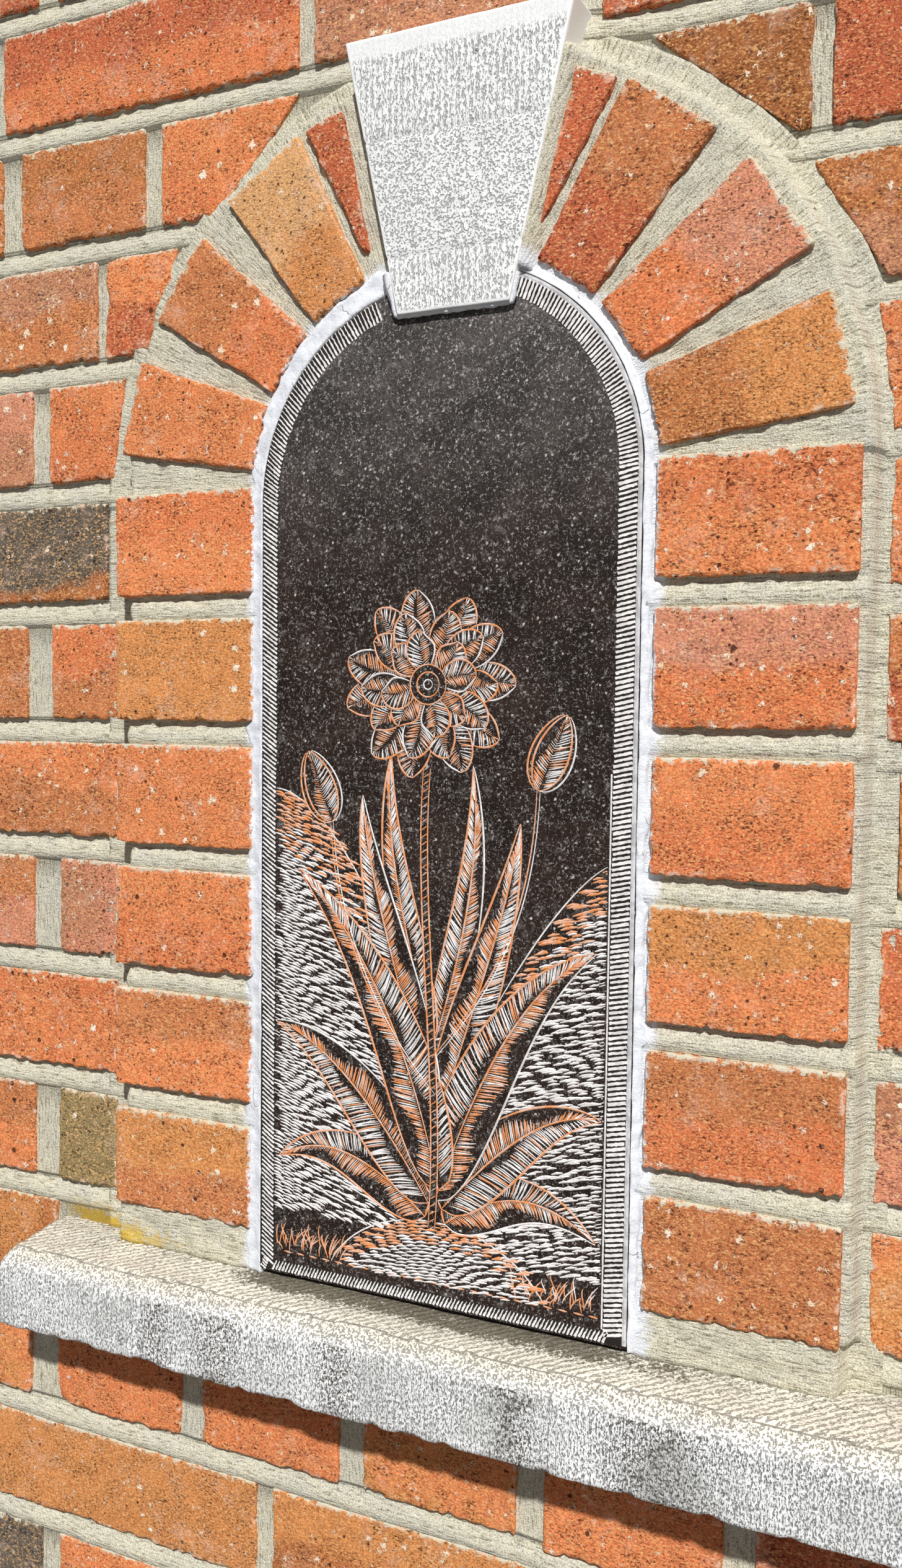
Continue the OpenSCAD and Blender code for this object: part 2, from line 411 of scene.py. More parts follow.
def darkStone(settings):
    # Honed dark limestone: cloudy, full of pale flecks and small ringed fossils
    material, g, place = newFinish("darkStone")
    fine = g.noise(place, 1.2 * mm, 3, 0.7)
    low = g.smooth(g.split(place)[2], archZ + 130 * mm, archZ - 80 * mm)
    cloud = g.patches(place, 38 * mm, 0.35, 0.66, 4, 0.65)
    ground = g.mix(cloud, tone("slateDark"), tone("slate")) * (0.55 + 0.8 * g.smooth(fine, 0.36, 0.64))
    ground = ground * g.mix(low, (1.0, 1.0, 1.0), settings["lowShare"])
    ragged = place + g.shake(place, 0.8 * mm, 3, 0.7, 2.4 * mm)
    bent = place + g.shake(place, 3 * mm, 2, 0.5, 3.0 * mm)
    specks = g.smooth(g.noise(place, 1.5 * mm, 3, 0.75, 0.8), 0.55, 0.66)
    dust, dustPick = g.grit(ragged, *settings["dust"])
    flecks, fleckPick = g.grit(ragged, *settings["flecks"])
    shells, hollows = (g.grit(bent, *settings[kind])[0] for kind in ("shells", "shellHollows"))
    bloom = g.patches(place, 8 * mm, 0.55, 0.68, 6, 0.8)
    pale = (
        specks * (0.76 - 0.3 * low),
        dust * (0.15 + 0.6 * dustPick),
        flecks * (0.2 + 0.8 * fleckPick),
        (shells - hollows * 0.7) * 0.26,
        bloom * 0.14,
    )
    colour = g.coats(ground, *((mask, "fleck") for mask in pale))
    height = (fine - 0.5) * 0.12 * mm - flecks * 0.05 * mm
    g.surface(colour, settings["roughness"] + 0.2 * fine, height, settings["specular"])
    return material


paleStone = {
    "pitch": 3.7 * mm,
    "dash": 0.88 * mm,
    "peck": 1.35 * mm,
    "relief": 0.6 * mm,
    "warmth": (-22, -9, 3, 9),
    "roughness": 0.9,
}


def tooledStone(settings):
    # "brushed" runs along the chisel lines, "pecked" is 1 where the stone is pecked instead,
    # "dressed" is 0 where it was left smooth, and "grime" says how dirty its hollows are; the hollows
    # also carry painted shade
    material, g, place = newFinish("tooledStone")
    brushed, pecked = g.attribute("brushed", "Vector"), g.attribute("pecked")
    grime = g.attribute("grime")
    warm = g.band(g.split(place)[2] - footZ, *settings["warmth"])
    rows = g.maths("SINE", g.split(brushed)[1] * (2 * math.pi / settings["pitch"]))
    dashes = g.noise(brushed * (0.42, 1.0, 1.0), settings["dash"], 2, 0.66)
    chiselled = g.smooth(dashes + rows * (0.045 - 0.03 * grime + 0.05 * warm), 0.37, 0.5)
    knocked = g.patches(place, settings["peck"], 0.38, 0.5, 2, 0.6)
    tooled = chiselled + (knocked - chiselled) * pecked
    tooled = 1 - (1 - tooled) * g.attribute("dressed")
    # The tool marks' hollows: painted shade, darker still with the grime in them
    hollow = g.mix(grime, tone("hollowShade"), tone("deepGrey"))
    dull = g.patches(place, 50 * mm, 0.42, 0.62, 4, 0.65) * (0.05 + 0.45 * grime)
    colour = g.coats(g.mix(tooled, hollow, tone("chalk")), (dull, "greyStone"))
    spots = g.patches(place, 1.7 * mm, 0.51, 0.58, 4, 0.75)
    blotch = g.smooth(g.noise(place, 30 * mm, 4, 0.7) + grime * 0.16, 0.47, 0.64)
    moss = g.attribute("moss") + g.shake(place, 6 * mm, 6, 0.8, 2.4)
    moss = moss + g.shake(place, 1.6 * mm, 3, 0.7, 2.4)
    colour = g.coats(
        colour,
        (warm * 0.5, colour * tone("beige") * 1.6),
        (spots * blotch * grime * 0.8, "slate"),
        (g.smooth(moss, 0.3, 0.75) * 0.85, "moss"),
    )
    g.surface(colour, settings["roughness"], (tooled - 0.5) * settings["relief"], 0.25)
    return material


def cutLine(name, first, second):
    # The fresh stone in the bottom of an engraved line, and the copper paint rubbed into others
    material, g, place = newFinish(name)
    fine = g.noise(place, 0.7 * mm, 3, 0.6)
    grain = g.patches(place, 5 * mm, 0.4, 0.6, 3, 0.6)
    colour = g.mix(grain, tone(first), tone(second)) * (0.8 + 0.4 * fine)
    g.surface(colour, 0.8, (fine - 0.5) * 0.1 * mm, 0.2)
    return material


def paleFloor():
    material, g, place = newFinish("paleFloor")
    colour = g.mix(g.noise(place, 0.4) * 0.2, tone("floor"), tone("chalk"))
    seen = g.out("ShaderNodeLightPath", None, None, "Is Camera Ray")
    colour = g.mix(seen, tone("floorDull"), colour)  # throws less light up at the wall
    g.surface(colour, 0.9, g.noise(place, 3 * mm) * 0.05 * mm, 0.2)
    return material


clayFinish = firedClay(clay)
mortarFinish = sandMortar(mortarMix)
whiteFinish = whiteMortar()
slateFinish = darkStone(darkSlate)
stoneFinish = tooledStone(paleStone)
cutFinishes = {
    "white": cutLine("cutWhite", "cutWhite", "cutGrey"),
    "rim": cutLine("cutRim", "rimGrey", "rimDull"),
    "groove": cutLine("cutGroove", "groove", "grooveDark"),
    "copper": cutLine("cutCopper", "copper", "copperPink"),
}
say("finishes made")

photoView = {
    "place": (0.3197, -0.8361, 1.5135),
    "turn": 0.443181,
    "dip": 0.048976,
    "roll": 0.012738,
    "lens": 30.607,
}


def placeCamera(settings):
    turn, dip, roll = settings["turn"], settings["dip"], settings["roll"]
    flat = math.cos(dip)
    ahead = Vector((-math.sin(turn) * flat, math.cos(turn) * flat, -math.sin(dip)))
    level = Vector((math.cos(turn), math.sin(turn), 0))
    upright = level.cross(ahead)
    right = math.cos(roll) * level + math.sin(roll) * upright
    up = -math.sin(roll) * level + math.cos(roll) * upright
    camera = putIn("photoCamera", bpy.data.cameras.new("photoCamera"))
    camera.data.sensor_width = 36
    camera.data.lens = settings["lens"]
    camera.data.clip_start, camera.data.clip_end = 0.01, 100
    axes = Matrix((right, up, -ahead)).transposed().to_4x4()
    camera.matrix_world = Matrix.Translation(settings["place"]) @ axes
    scene.camera = camera


studio = {
    "sky": (0.18, 0.185, 0.2),
    "pale": (0.86, 0.86, 0.86),
    "sun": 4.1,
    "sunWidth": 2.0,
    "towardsSun": (0.31, -0.69, 0.67),
    "fill": 1.5,
    "fillWidth": 60.0,
    "towardsFill": (-0.55, 0.75, 0.35),
    "floorSide": 14.0,
}


def lightStudio(settings):
    world = bpy.data.worlds.new("studio")
    world.use_nodes = True
    world.node_tree.nodes.clear()
    g = Graph(world.node_tree)
    sky, pale = (
        g.out("ShaderNodeBackground", None, {"Color": settings[name], "Strength": 1.0})
        for name in ("sky", "pale")
    )
    seen = g.out("ShaderNodeLightPath", None, None, "Is Camera Ray")
    shown = g.out("ShaderNodeMixShader", None, {0: seen, 1: sky, 2: pale})
    g.node("ShaderNodeOutputWorld", None, {"Surface": shown})
    scene.world = world
    for name in ("sun", "fill"):
        lamp = bpy.data.lights.new(name, "SUN")
        lamp.energy = settings[name]
        lamp.angle = math.radians(settings[name + "Width"])
        towards = Vector(settings["towards" + name.title()])
        putIn(name, lamp).rotation_euler = towards.to_track_quat("Z", "Y").to_euler()
    side = settings["floorSide"] / 2
    mesh = bpy.data.meshes.new("floor")
    corners = [(-side, -side, -mm), (side, -side, -mm), (side, side, -mm), (-side, side, -mm)]
    mesh.from_pydata(corners, [], [(0, 1, 2, 3)])
    mesh.materials.append(paleFloor())
    floor = putIn("floor", mesh)
    scene.view_settings.view_transform = "Standard"


placeCamera(photoView)
lightStudio(studio)
say("camera and light placed")


def lumps(points, size, seed=0):
    # Smooth value noise from -1 to 1 with lumps of that size, at each point
    place = np.asarray(points, float) / size
    cell = np.floor(place).astype(np.int64)
    part = place - cell
    part = part * part * (3 - 2 * part)
    total = np.zeros(place.shape[:-1])
    for corner in np.ndindex(2, 2, 2):
        x, y, z = (cell[..., k] + corner[k] for k in range(3))
        key = (x * 73856093) ^ (y * 19349663) ^ (z * 83492791) ^ (seed * 40503 + 977)
        key = ((key & 0xFFFFFFFF) * 2246822519) & 0xFFFFFFFF
        key = ((key ^ (key >> 15)) * 3266489917) & 0xFFFFFFFF
        weight = 1
        for k in range(3):
            weight = weight * (part[..., k] if corner[k] else 1 - part[..., k])
        total = total + weight * ((key ^ (key >> 16)) / 0x7FFFFFFF - 1)
    return total


def ease(value, low, high):
    t = np.clip((value - low) / (high - low), 0, 1)
    return t * t * (3 - 2 * t)


def hump(value, middle, reach):
    return np.exp(-(((value - middle) / reach) ** 2))


def unitRows(vectors):
    return vectors / np.maximum(np.linalg.norm(vectors, axis=1, keepdims=True), 1e-9)


def addPiece(name, mesh, finish, slotName, *nodes, smooth=True):
    mesh.name = name
    if mesh.materials and not mesh.materials[0]:
        mesh.materials.pop(index=0)
    if not mesh.materials:
        mesh.materials.append(finish)
    mesh.polygons.foreach_set("use_smooth", [smooth] * len(mesh.polygons))
    piece = putIn(name, mesh)
    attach(piece, "root")
    if nodes:
        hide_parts(*nodes)


def store(mesh, name, values):
    # One number or one vector for each point
    values = np.asarray(values, np.float32).reshape(len(mesh.vertices), -1)
    kind, field = ("FLOAT_VECTOR", "vector") if values.shape[1] == 3 else ("FLOAT", "value")
    mesh.attributes.new(name, kind, "POINT").data.foreach_set(field, values.ravel())


def shellMesh(name, points, extras):
    # Rings of points as one closed shell; extras are numbers or vectors for each point
    rows, columns = points.shape[:2]
    here = np.arange(rows * columns).reshape(rows, columns)
    after = np.roll(here, -1, 1)
    faces = np.stack([here[:-1], after[:-1], after[1:], here[1:]], -1).reshape(-1, 4).tolist()
    faces += [here[0, ::-1].tolist(), here[-1].tolist()]
    mesh = bpy.data.meshes.new(name)
    mesh.from_pydata(points.reshape(-1, 3).tolist(), [], faces)
    for label, values in extras.items():
        store(mesh, label, values)
    work = bmesh.new()
    work.from_mesh(mesh)
    bmesh.ops.recalc_face_normals(work, faces=work.faces)
    work.to_mesh(mesh)
    work.free()
    return mesh


def closed(sheet, rearY):
    # A front sheet with two more points in each row, which close it at the back
    rear = sheet[:, [-1, 0]].copy()
    if rearY is not None:
        rear[..., 1] = rearY
    return np.concatenate([sheet, rear], 1)


def geometryTree(name, sockets):
    tree = bpy.data.node_groups.new(name, "GeometryNodeTree")
    tree.interface.new_socket("Geometry", in_out="INPUT", socket_type="NodeSocketGeometry")
    for label, kind in sockets.items():
        tree.interface.new_socket(label, in_out="INPUT", socket_type="NodeSocket" + kind)
    tree.interface.new_socket("Geometry", in_out="OUTPUT", socket_type="NodeSocketGeometry")
    graph = Graph(tree)
    start = graph.node("NodeGroupInput")
    return graph, {output.name: Wire(graph, output) for output in start.outputs if output.name}


def endTree(graph, geometry, finish):
    whole = graph.out("GeometryNodeRealizeInstances", None, {0: geometry})
    dressed = graph.out("GeometryNodeSetMaterial", None, {"Geometry": whole, "Material": finish})
    graph.node("NodeGroupOutput", None, {0: dressed})


def grow(name, source, graph, values):
    # Runs a tree on the source data and returns the result as a plain mesh
    carrier = putIn(name + "Source", source)
    modifier = carrier.modifiers.new("grow", "NODES")
    modifier.node_group = graph.tree
    for item in graph.tree.interface.items_tree:
        if item.in_out == "INPUT" and item.name in values:
            modifier[item.identifier] = values[item.name]
    found = carrier.evaluated_get(bpy.context.evaluated_depsgraph_get())
    mesh = bpy.data.meshes.new_from_object(found)
    carrier.modifiers.remove(modifier)
    bpy.data.objects.remove(carrier)
    return mesh


def brickBlank(name, along, deep, high, crowd, sink):
    # A unit brick whose faces are finest at their edges; its hidden back is one face
    def spread(count):
        t = np.linspace(-1, 1, count + 1)
        return 0.5 * np.sign(t) * (1 - (1 - np.abs(t)) ** crowd)

    points = [(x, -0.5, z) for z in spread(high) for x in spread(along)]
    index = np.arange(len(points)).reshape(high + 1, along + 1)
    faces = np.stack([index[:-1, :-1], index[:-1, 1:], index[1:, 1:], index[1:, :-1]], -1)
    faces = faces.reshape(-1, 4).tolist()
    edge = np.concatenate([index[0, :-1], index[:-1, -1], index[-1, :0:-1], index[:0:-1, 0]])
    ring, base = edge.tolist(), np.array(points)[edge]
    for y in np.linspace(0, 1, deep + 1)[1:] ** sink - 0.5:
        first = len(points)
        points += [(x, y, z) for x, _, z in base]
        fresh = list(range(first, first + len(ring)))
        for k in range(len(ring)):
            after = (k + 1) % len(ring)
            faces.append([ring[after], ring[k], fresh[k], fresh[after]])
        ring = fresh
    faces.append(ring[::-1])
    mesh = bpy.data.meshes.new(name)
    mesh.from_pydata([tuple(map(float, p)) for p in points], [], faces)
    return mesh


def brickTree():
    # Each point becomes a worn brick, with its own size, lean, turn and colours
    sockets = {"Blank": "Object", "Arris": "Float", "Wear": "Float", "Clay": "Material"}
    g, given = geometryTree("laidBricks", sockets)

    def read(name, kind="FLOAT"):
        return g.out("GeometryNodeInputNamedAttribute", {"data_type": kind}, {"Name": name})

    def keep(geometry, name, value, kind="FLOAT"):
        settings = {"data_type": kind, "domain": "POINT"}
        sockets = {"Geometry": geometry, "Name": name, "Value": value}
        return g.out("GeometryNodeStoreNamedAttribute", settings, sockets)

    def turned(vector, axis, angle):
        sockets = {"Vector": vector, "Axis": axis, "Angle": angle}
        return g.out("ShaderNodeVectorRotate", {"rotation_type": "AXIS_ANGLE"}, sockets)

    place = g.out("GeometryNodeInputPosition")
    blank = g.out("GeometryNodeObjectInfo", None, {"Object": given["Blank"]}, "Geometry")
    unit = keep(blank, "unit", place, "FLOAT_VECTOR")
    points = keep(given["Geometry"], "centre", place, "FLOAT_VECTOR")
    bricks = g.out("GeometryNodeInstanceOnPoints", None, {"Points": points, "Instance": unit})
    bricks = g.out("GeometryNodeRealizeInstances", None, {0: bricks})

    # Its edges are rounded where they are worn and broken where they are chipped
    size, lean = read("size", "FLOAT_VECTOR"), g.split(read("lean", "FLOAT_VECTOR"))
    local = read("unit", "FLOAT_VECTOR") * size
    spot = local + read("salt") * (3.7, 1.9, 5.3)
    worn = g.patches(spot, 17 * mm, 0.38, 0.78)
    chipped = g.patches(spot, 30 * mm, 0.6, 0.72)
    arris = given["Arris"] * (0.4 + 1.5 * worn + 1.6 * chipped)
    limit = size * 0.5 - arris
    inner = g.maths("MAXIMUM", g.maths("MINIMUM", local, limit), -limit)
    out = local - inner
    normal = g.maths("NORMALIZE", out)
    rounded = inner + normal * g.maths("MINIMUM", g.maths("LENGTH", out), arris)

    # The middle one of the distances to its faces tells how near an edge is
    free = g.split(g.maths("ABSOLUTE", size * 0.5 - g.maths("ABSOLUTE", local)))
    low, high = (g.maths(kind, g.maths(kind, *free[:2]), free[2]) for kind in ("MINIMUM", "MAXIMUM"))
    rim = free[0] + free[1] + free[2] - low - high
    swell = g.shake(spot, 40 * mm, 1, 0.5, 2.2)
    rough = g.shake(spot, 6.5 * mm, 3, 0.6, 0.8 + 1.6 * g.smooth(rim, 9 * mm, 0.0))
    rough = rough + g.shake(spot, 2.4 * mm, 2, 0.6, 0.5 + 3.4 * g.smooth(rim, 4 * mm, 0.0))
    x, y, z = g.split(rounded + normal * given["Wear"] * (swell + rough))

    # Its foot is nibbled, and its ends lean as they were cut
    width, _, rise = g.split(size)
    u, v = x / width + 0.5, z / rise
    nibble = g.patches(spot * (1.0, 1.0, 0.3), 6 * mm, 0.47, 0.66, 3, 0.65)
    z = z + nibble * g.smooth(v, -0.4, -0.5) * given["Wear"] * 4
    x = x + v * (lean[0] * (1 - u) + lean[1] * u)
    faced = turned(turned(g.join(x, y, z), (0, 1, 0), read("turn")), (0, 0, 1), read("facing"))
    bricks = keep(bricks, "rim", rim)
    bricks = keep(bricks, "top", (0.5 - v) * rise)
    bricks = keep(bricks, "level", (v + 0.5 - read("turning")) * read("firing"))
    sockets = {"Geometry": bricks, "Position": faced + read("centre", "FLOAT_VECTOR")}
    endTree(g, g.out("GeometryNodeSetPosition", None, sockets), given["Clay"])
    return g


laidBricks = brickTree()
# Faces along, deep and high, how they crowd to the edges of the front, and down the sides
blankForms = {
    "fineHeader": (36, 5, 23, 1.45, 3.4),
    "fineStretcher": (74, 5, 23, 1.35, 3.4),
    "surround": (50, 7, 32, 1.4, 2.8),
    "plainHeader": (12, 3, 7, 1.6, 2.6),
    "plainStretcher": (23, 3, 7, 1.5, 2.6),
    "end": (12, 9, 7, 1.4, 1.0),
}
blanks = {name: putIn(name, brickBlank(name, *form)) for name, form in blankForms.items()}
random = np.random.default_rng(7)
wallTones = ["orange", "orangeRed", "red", "ochre", "pink", "orange", "ochreBrown", "orangeRed"]
partners = {
    "umber": ["umber"],
    "orange": ["ochre", "orangeRed"],
    "orangeRed": ["orange", "red"],
    "red": ["orangeRed", "red"],
    "ochre": ["orange", "ochreBrown"],
    "ochreBrown": ["ochre", "red"],
    "pink": ["orangeRed", "pinkBrown"],
    "pinkBrown": ["pink", "orangeRed"],
    "tan": ["tan", "ochreBrown"],
    "olive": ["olive", "ochreBrown"],
    "burnt": ["burnt", "burntBrown"],
}


def brick(centre, size, shade=None, lean=(0, 0), turn=0.0, facing=0.0):
    # A shade of two names runs from the first at the foot to the second at the top
    shade = shade or str(random.choice(wallTones))
    chance = random.random()
    named = shade.split("/")
    first, second = (named + [str(random.choice(partners[named[0]]))])[:2]
    glow = 1 + 0.06 * (random.random() - 0.5) * 2
    return {
        "centre": centre,
        "size": size,
        "lean": (*lean, 0.0),
        "turn": turn,
        "facing": facing,
        "firing": 1.3 if len(named) > 1 else 0.3 * chance,
        "turning": 0.2 if second == "burnt" else 0.5,
        "salt": float(random.random() * 9),
        "tint": [c * glow for c in tone(first)],
        "second": [c * glow for c in tone(second)],
    }


def bakeBricks(name, bricks, blank, settings):
    mesh = bpy.data.meshes.new(name)
    mesh.from_pydata([tuple(b["centre"]) for b in bricks], [], [])
    for label in bricks[0]:
        if label != "centre":
            store(mesh, label, [b[label] for b in bricks])
    values = {"Blank": blanks[blank], "Arris": settings["arris"], "Wear": settings["wear"]}
    return grow(name, mesh, laidBricks, {**values, "Clay": clayFinish})


def joined(name, meshes):
    # Several meshes as one, keeping their attributes
    objects = [putIn(name, mesh) for mesh in meshes]
    with bpy.context.temp_override(
        active_object=objects[0], object=objects[0], selected_editable_objects=objects
    ):
        bpy.ops.object.join()
    mesh = objects[0].data
    bpy.data.objects.remove(objects[0])
    return mesh


surroundBricks = {
    "arris": 1.9 * mm,
    "wear": 0.5 * mm,
    "innerHeight": 38 * mm,
    "outerHeight": 56 * mm,
    "sliverRise": 15 * mm,
    "sliverTip": 3 * mm,
    "sliverWidth": 25 * mm,
    "outerGap": 3.5 * mm,
    "leftAngles": (15.0, 36.3, 57.6, 69.5),
    "rightAngles": (13.0, 34.0, 55.0, 67.0),
    "leftJamb": ("tan/ochre", "orange/tan", "orangeRed/orange",
                 "orange/orange", "ochre/ochre", "orange/orangeRed"),
    "rightJamb": ("tan/tan", "orangeRed/tan", "orange/ochre",
                  "orangeRed/orange", "orangeRed/pink", "orange/orangeRed"),
    "leftArch": ("orange/orange", "orangeRed/tan", "ochre/sand", "red/red"),
    "rightArch": ("ochreBrown/ochre", "orangeRed/pink", "red/tan", "red/red"),
}


def addSurroundBrick(name, node, one):
    mesh = bakeBricks(node, [one], "surround", surroundBricks)
    addPiece(name, mesh, clayFinish, "brick", node)


def layJamb(settings, side):
    for k, shade in enumerate(settings[side + "Jamb"]):
        node = f"jamb_{side}_{k + 1}"
        low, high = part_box(node)
        one = brick((low + high) / 2, tuple(high - low), shade)
        addSurroundBrick(f"jambBrick{side.title()}{k + 1}", node, one)


def layArch(settings, side):
    y, depth = (jambLow.y + jambHigh.y) / 2, jambHigh.y - jambLow.y
    outer = surroundR - settings["outerGap"]
    for k, (angle, shade) in enumerate(zip(settings[side + "Angles"], settings[side + "Arch"])):
        node, name = f"voussoir_{side}_{k + 1}", f"archBrick{k + 1}"
        inner, narrow, wide = openingR, settings["innerHeight"], settings["outerHeight"]
        if k == 3:
            node, name = f"sliver_{side}", "slipBrick"
            inner = openingR + settings["sliverRise"]
            narrow, wide = settings["sliverTip"], settings["sliverWidth"]
        bearing = math.radians(angle if side == "right" else 180 - angle)
        middle = (inner + outer) / 2
        centre = (middle * math.cos(bearing), y, archZ + middle * math.sin(bearing))
        size = ((narrow + wide) / 2, depth, outer - inner)
        lean = ((narrow - wide) / 2, (wide - narrow) / 2)
        one = brick(centre, size, shade, lean=lean, turn=math.pi / 2 - bearing)
        addSurroundBrick(name + side.title(), node, one)


for side in ("left", "right"):
    layJamb(surroundBricks, side)
    layArch(surroundBricks, side)
say("surround bricks laid")

# A course of the plain wall, in millimetres: each brick's left and right end
headerCourse = [(-514 + 116 * k, -414 + 116 * k) for k in range(9)]
stretcherCourse = [(-514, -356), (-340, -124), (-108, 108), (124, 340), (356, 514)]
# Bricks between the plain ends of their course: left end, right end, tone, and for a cut brick
# where its ends are at its top
cutCourses = {
    12: [(-398, -298, "burnt"), (-282, -182, "orangeRed"), (-166, -66, "orange"),
         (-50, 50), (66, 166), (182, 282)],
    13: [(-340, -126, "ochre/ochre"), (-114, 108, "ochreBrown/ochre"), (124, 340)],
    14: [(-398, -306, "orange"), (-283, -183, "orange"), (-166, -68, "orange"),
         (-51, 46, "ochre"), (63, 163, "orange"), (180, 282, "red")],
    15: [(-340, -284, "ochre"), (290, 340)],
    16: [(-398, -302, "orange/tan"), (-281, -233, "olive"), (233, 282, "orange")],
    17: [(-340, -233, "orange"), (233, 340, "pink")],
    18: [(-398, -303, "pink/tan"), (-280, -233, "pink"), (233, 282, "orangeRed")],
    19: [(-340, -233, "tan/orange"), (240, 340, "ochre")],
    20: [(-398, -308, "tan"), (-287, -232, "tan/orangeRed"), (233, 282, "red/tan")],
    21: [(-340, -241, "ochreBrown/burnt"), (233, 340, "orangeRed")],
    22: [(-398, -303, "pinkBrown"), (-288, -236, "orangeRed", -288, -227),
         (233, 282, "orange", 224, 282)],
}
# Courses over the arch that were set out afresh, from end to end
freshCourses = {
    23: [(-514, -482), (-466, -250, "tan/pinkBrown"), (-243, -203, "red/orange", -243, -187),
         (228, 340, "pinkBrown/ochreBrown", 190, 340), (356, 514)],
    24: [(-514, -444), (-428, -328, "tan"), (-311, -213, "tan/ochreBrown"),
         (-200, -157, "orangeRed", -200, -101), (184, 190, "umber/umber", 108, 190),
         (200, 300, "red"), (316, 416), (432, 514)],
    25: [(-514, -342), (-326, -103, "orangeRed/red"), (-92, 68, "pinkBrown/red"),
         (82, 224, "red/red"), (240, 398), (414, 514)],
}
wallWork = {
    "courses": 27,
    "arris": 2.0 * mm,
    "wear": 0.55 * mm,
    # How deep a header and a stretcher lie in the wall
    "headerDepth": 216 * mm,
    "stretcherDepth": 100 * mm,
    "longest": 130 * mm,
    "unevenness": 0.8 * mm,
    "tilt": 0.006,
    "end": 514,
    # The fine bricks, which the photograph shows: from where to where, and on which courses
    "nearLeft": -350,
    "nearRight": 262,
    "nearCourses": (12, 26),
    # Where the courses sank, and how far: across from the middle and up from the panel's foot
    "sunkAcross": (20 * mm, 130 * mm, 300 * mm, 480 * mm),
    "sunkUp": ((-250 * mm, -50 * mm), (450 * mm, 600 * mm)),
    "sunk": 5 * mm,
}


def frontCourse(n):
    if n in freshCourses:
        return freshCourses[n]
    plain, ends = (stretcherCourse, 1) if n % 2 else (headerCourse, 2)
    return plain[:1] + cutCourses[n] + plain[-ends:] if n in cutCourses else plain


def courseDrop(x, z):
    # Right of the middle the courses lie low, and over the arch twice as low
    start, full, ebb, end = wallWork["sunkAcross"]
    beside = ease(x, start, full) * (1 - ease(x, ebb, end))
    steps = sum(ease(z - footZ, *edges) for edges in wallWork["sunkUp"])
    return -beside * steps * wallWork["sunk"]


def farKind(settings, left, right, width):
    if settings["end"] in (-left, right):
        return "end"
    return "plainStretcher" if width > settings["longest"] else "plainHeader"


def layFront(settings):
    near = {"fineHeader": [], "fineStretcher": []}
    far = {"plainHeader": [], "plainStretcher": [], "end": []}
    first, last = settings["nearCourses"]
    for n in range(settings["courses"]):
        depth = settings["stretcherDepth" if n % 2 else "headerDepth"]
        z = n * courseRise + brickRise / 2
        for left, right, *rest in frontCourse(n):
            shade = rest[0] if rest else None
            topLeft, topRight = rest[1:] or (left, right)
            width = (right - left + topRight - topLeft) / 2 * mm
            middle = (left + right + topLeft + topRight) / 4 * mm
            turn = (random.random() - 0.5) * settings["tilt"]
            y = wallY + depth / 2 + random.random() * settings["unevenness"]
            centre = (middle, y, z + courseDrop(middle, z))
            lean = ((topLeft - left) * mm, (topRight - right) * mm)
            one = brick(centre, (width, depth, brickRise), shade, lean=lean, turn=turn)
            across = settings["nearLeft"] < right and left < settings["nearRight"]
            if first <= n <= last and across:
                near["fineStretcher" if width > settings["longest"] else "fineHeader"].append(one)
            else:
                far[farKind(settings, left, right, width)].append(one)
    return near, far


def layBack(settings):
    rows = {"plainHeader": [], "plainStretcher": [], "end": []}
    for n in range(settings["courses"]):
        depth = settings["headerDepth" if n % 2 else "stretcherDepth"]
        z = n * courseRise + brickRise / 2
        for left, right in headerCourse if n % 2 else stretcherCourse:
            width, x = (right - left) * mm, (left + right) / 2 * mm
            y = backY - depth / 2 - random.random() * settings["unevenness"]
            turn = (random.random() - 0.5) * settings["tilt"]
            one = brick((x, y, z), (width, depth, brickRise), turn=turn, facing=math.pi)
            rows[farKind(settings, left, right, width)].append(one)
    return rows


def bakeWall(name, groups, *nodes):
    meshes = [bakeBricks(kind, bricks, kind, wallWork) for kind, bricks in groups.items()]
    addPiece(name, joined(name, meshes), clayFinish, "brick", *nodes)


nearBricks, farBricks = layFront(wallWork)
bakeWall("wallBricksByTheArch", nearBricks, "wall_left", "wall_right")
bakeWall("wallBricksFront", farBricks, "wall_base", "wall_top")
bakeWall("wallBricksBack", layBack(wallWork), "wall_back")
say("wall laid")

capping = {"bricks": 14, "thick": 61 * mm, "long": 216 * mm, "joint": 14 * mm, "bare": 30 * mm}


def layCapping(settings):
    # Bricks on edge: a long one over the front leaf and a half one behind, the other way round
    # in every second place
    thick, long = settings["thick"], settings["long"]
    pitch = (capHigh.x - capLow.x - thick) / (settings["bricks"] - 1)
    short = capHigh.y - capLow.y - long - settings["joint"]
    pieces = []
    for k in range(settings["bricks"]):
        x = capLow.x + thick / 2 + k * pitch
        front, rear = (long, short) if k % 2 == 0 else (short, long)
        for start, end, facing in (
            (capLow.y, capLow.y + front, 0.0), (capHigh.y - rear, capHigh.y, math.pi)
        ):
            z = (capLow.z + capHigh.z) / 2 - random.random() * wallWork["unevenness"]
            size = (thick, end - start, capHigh.z - capLow.z)
            pieces.append(brick((x, (start + end) / 2, z), size, facing=facing))
    mesh = bakeBricks("cappingBricks", pieces, "end", wallWork)
    # No bed of mortar lay on these bricks
    mesh.attributes["top"].data.foreach_set("value", [settings["bare"]] * len(mesh.vertices))
    addPiece("cappingBricks", mesh, clayFinish, "brick", "capping")


layCapping(capping)
say("capping laid")

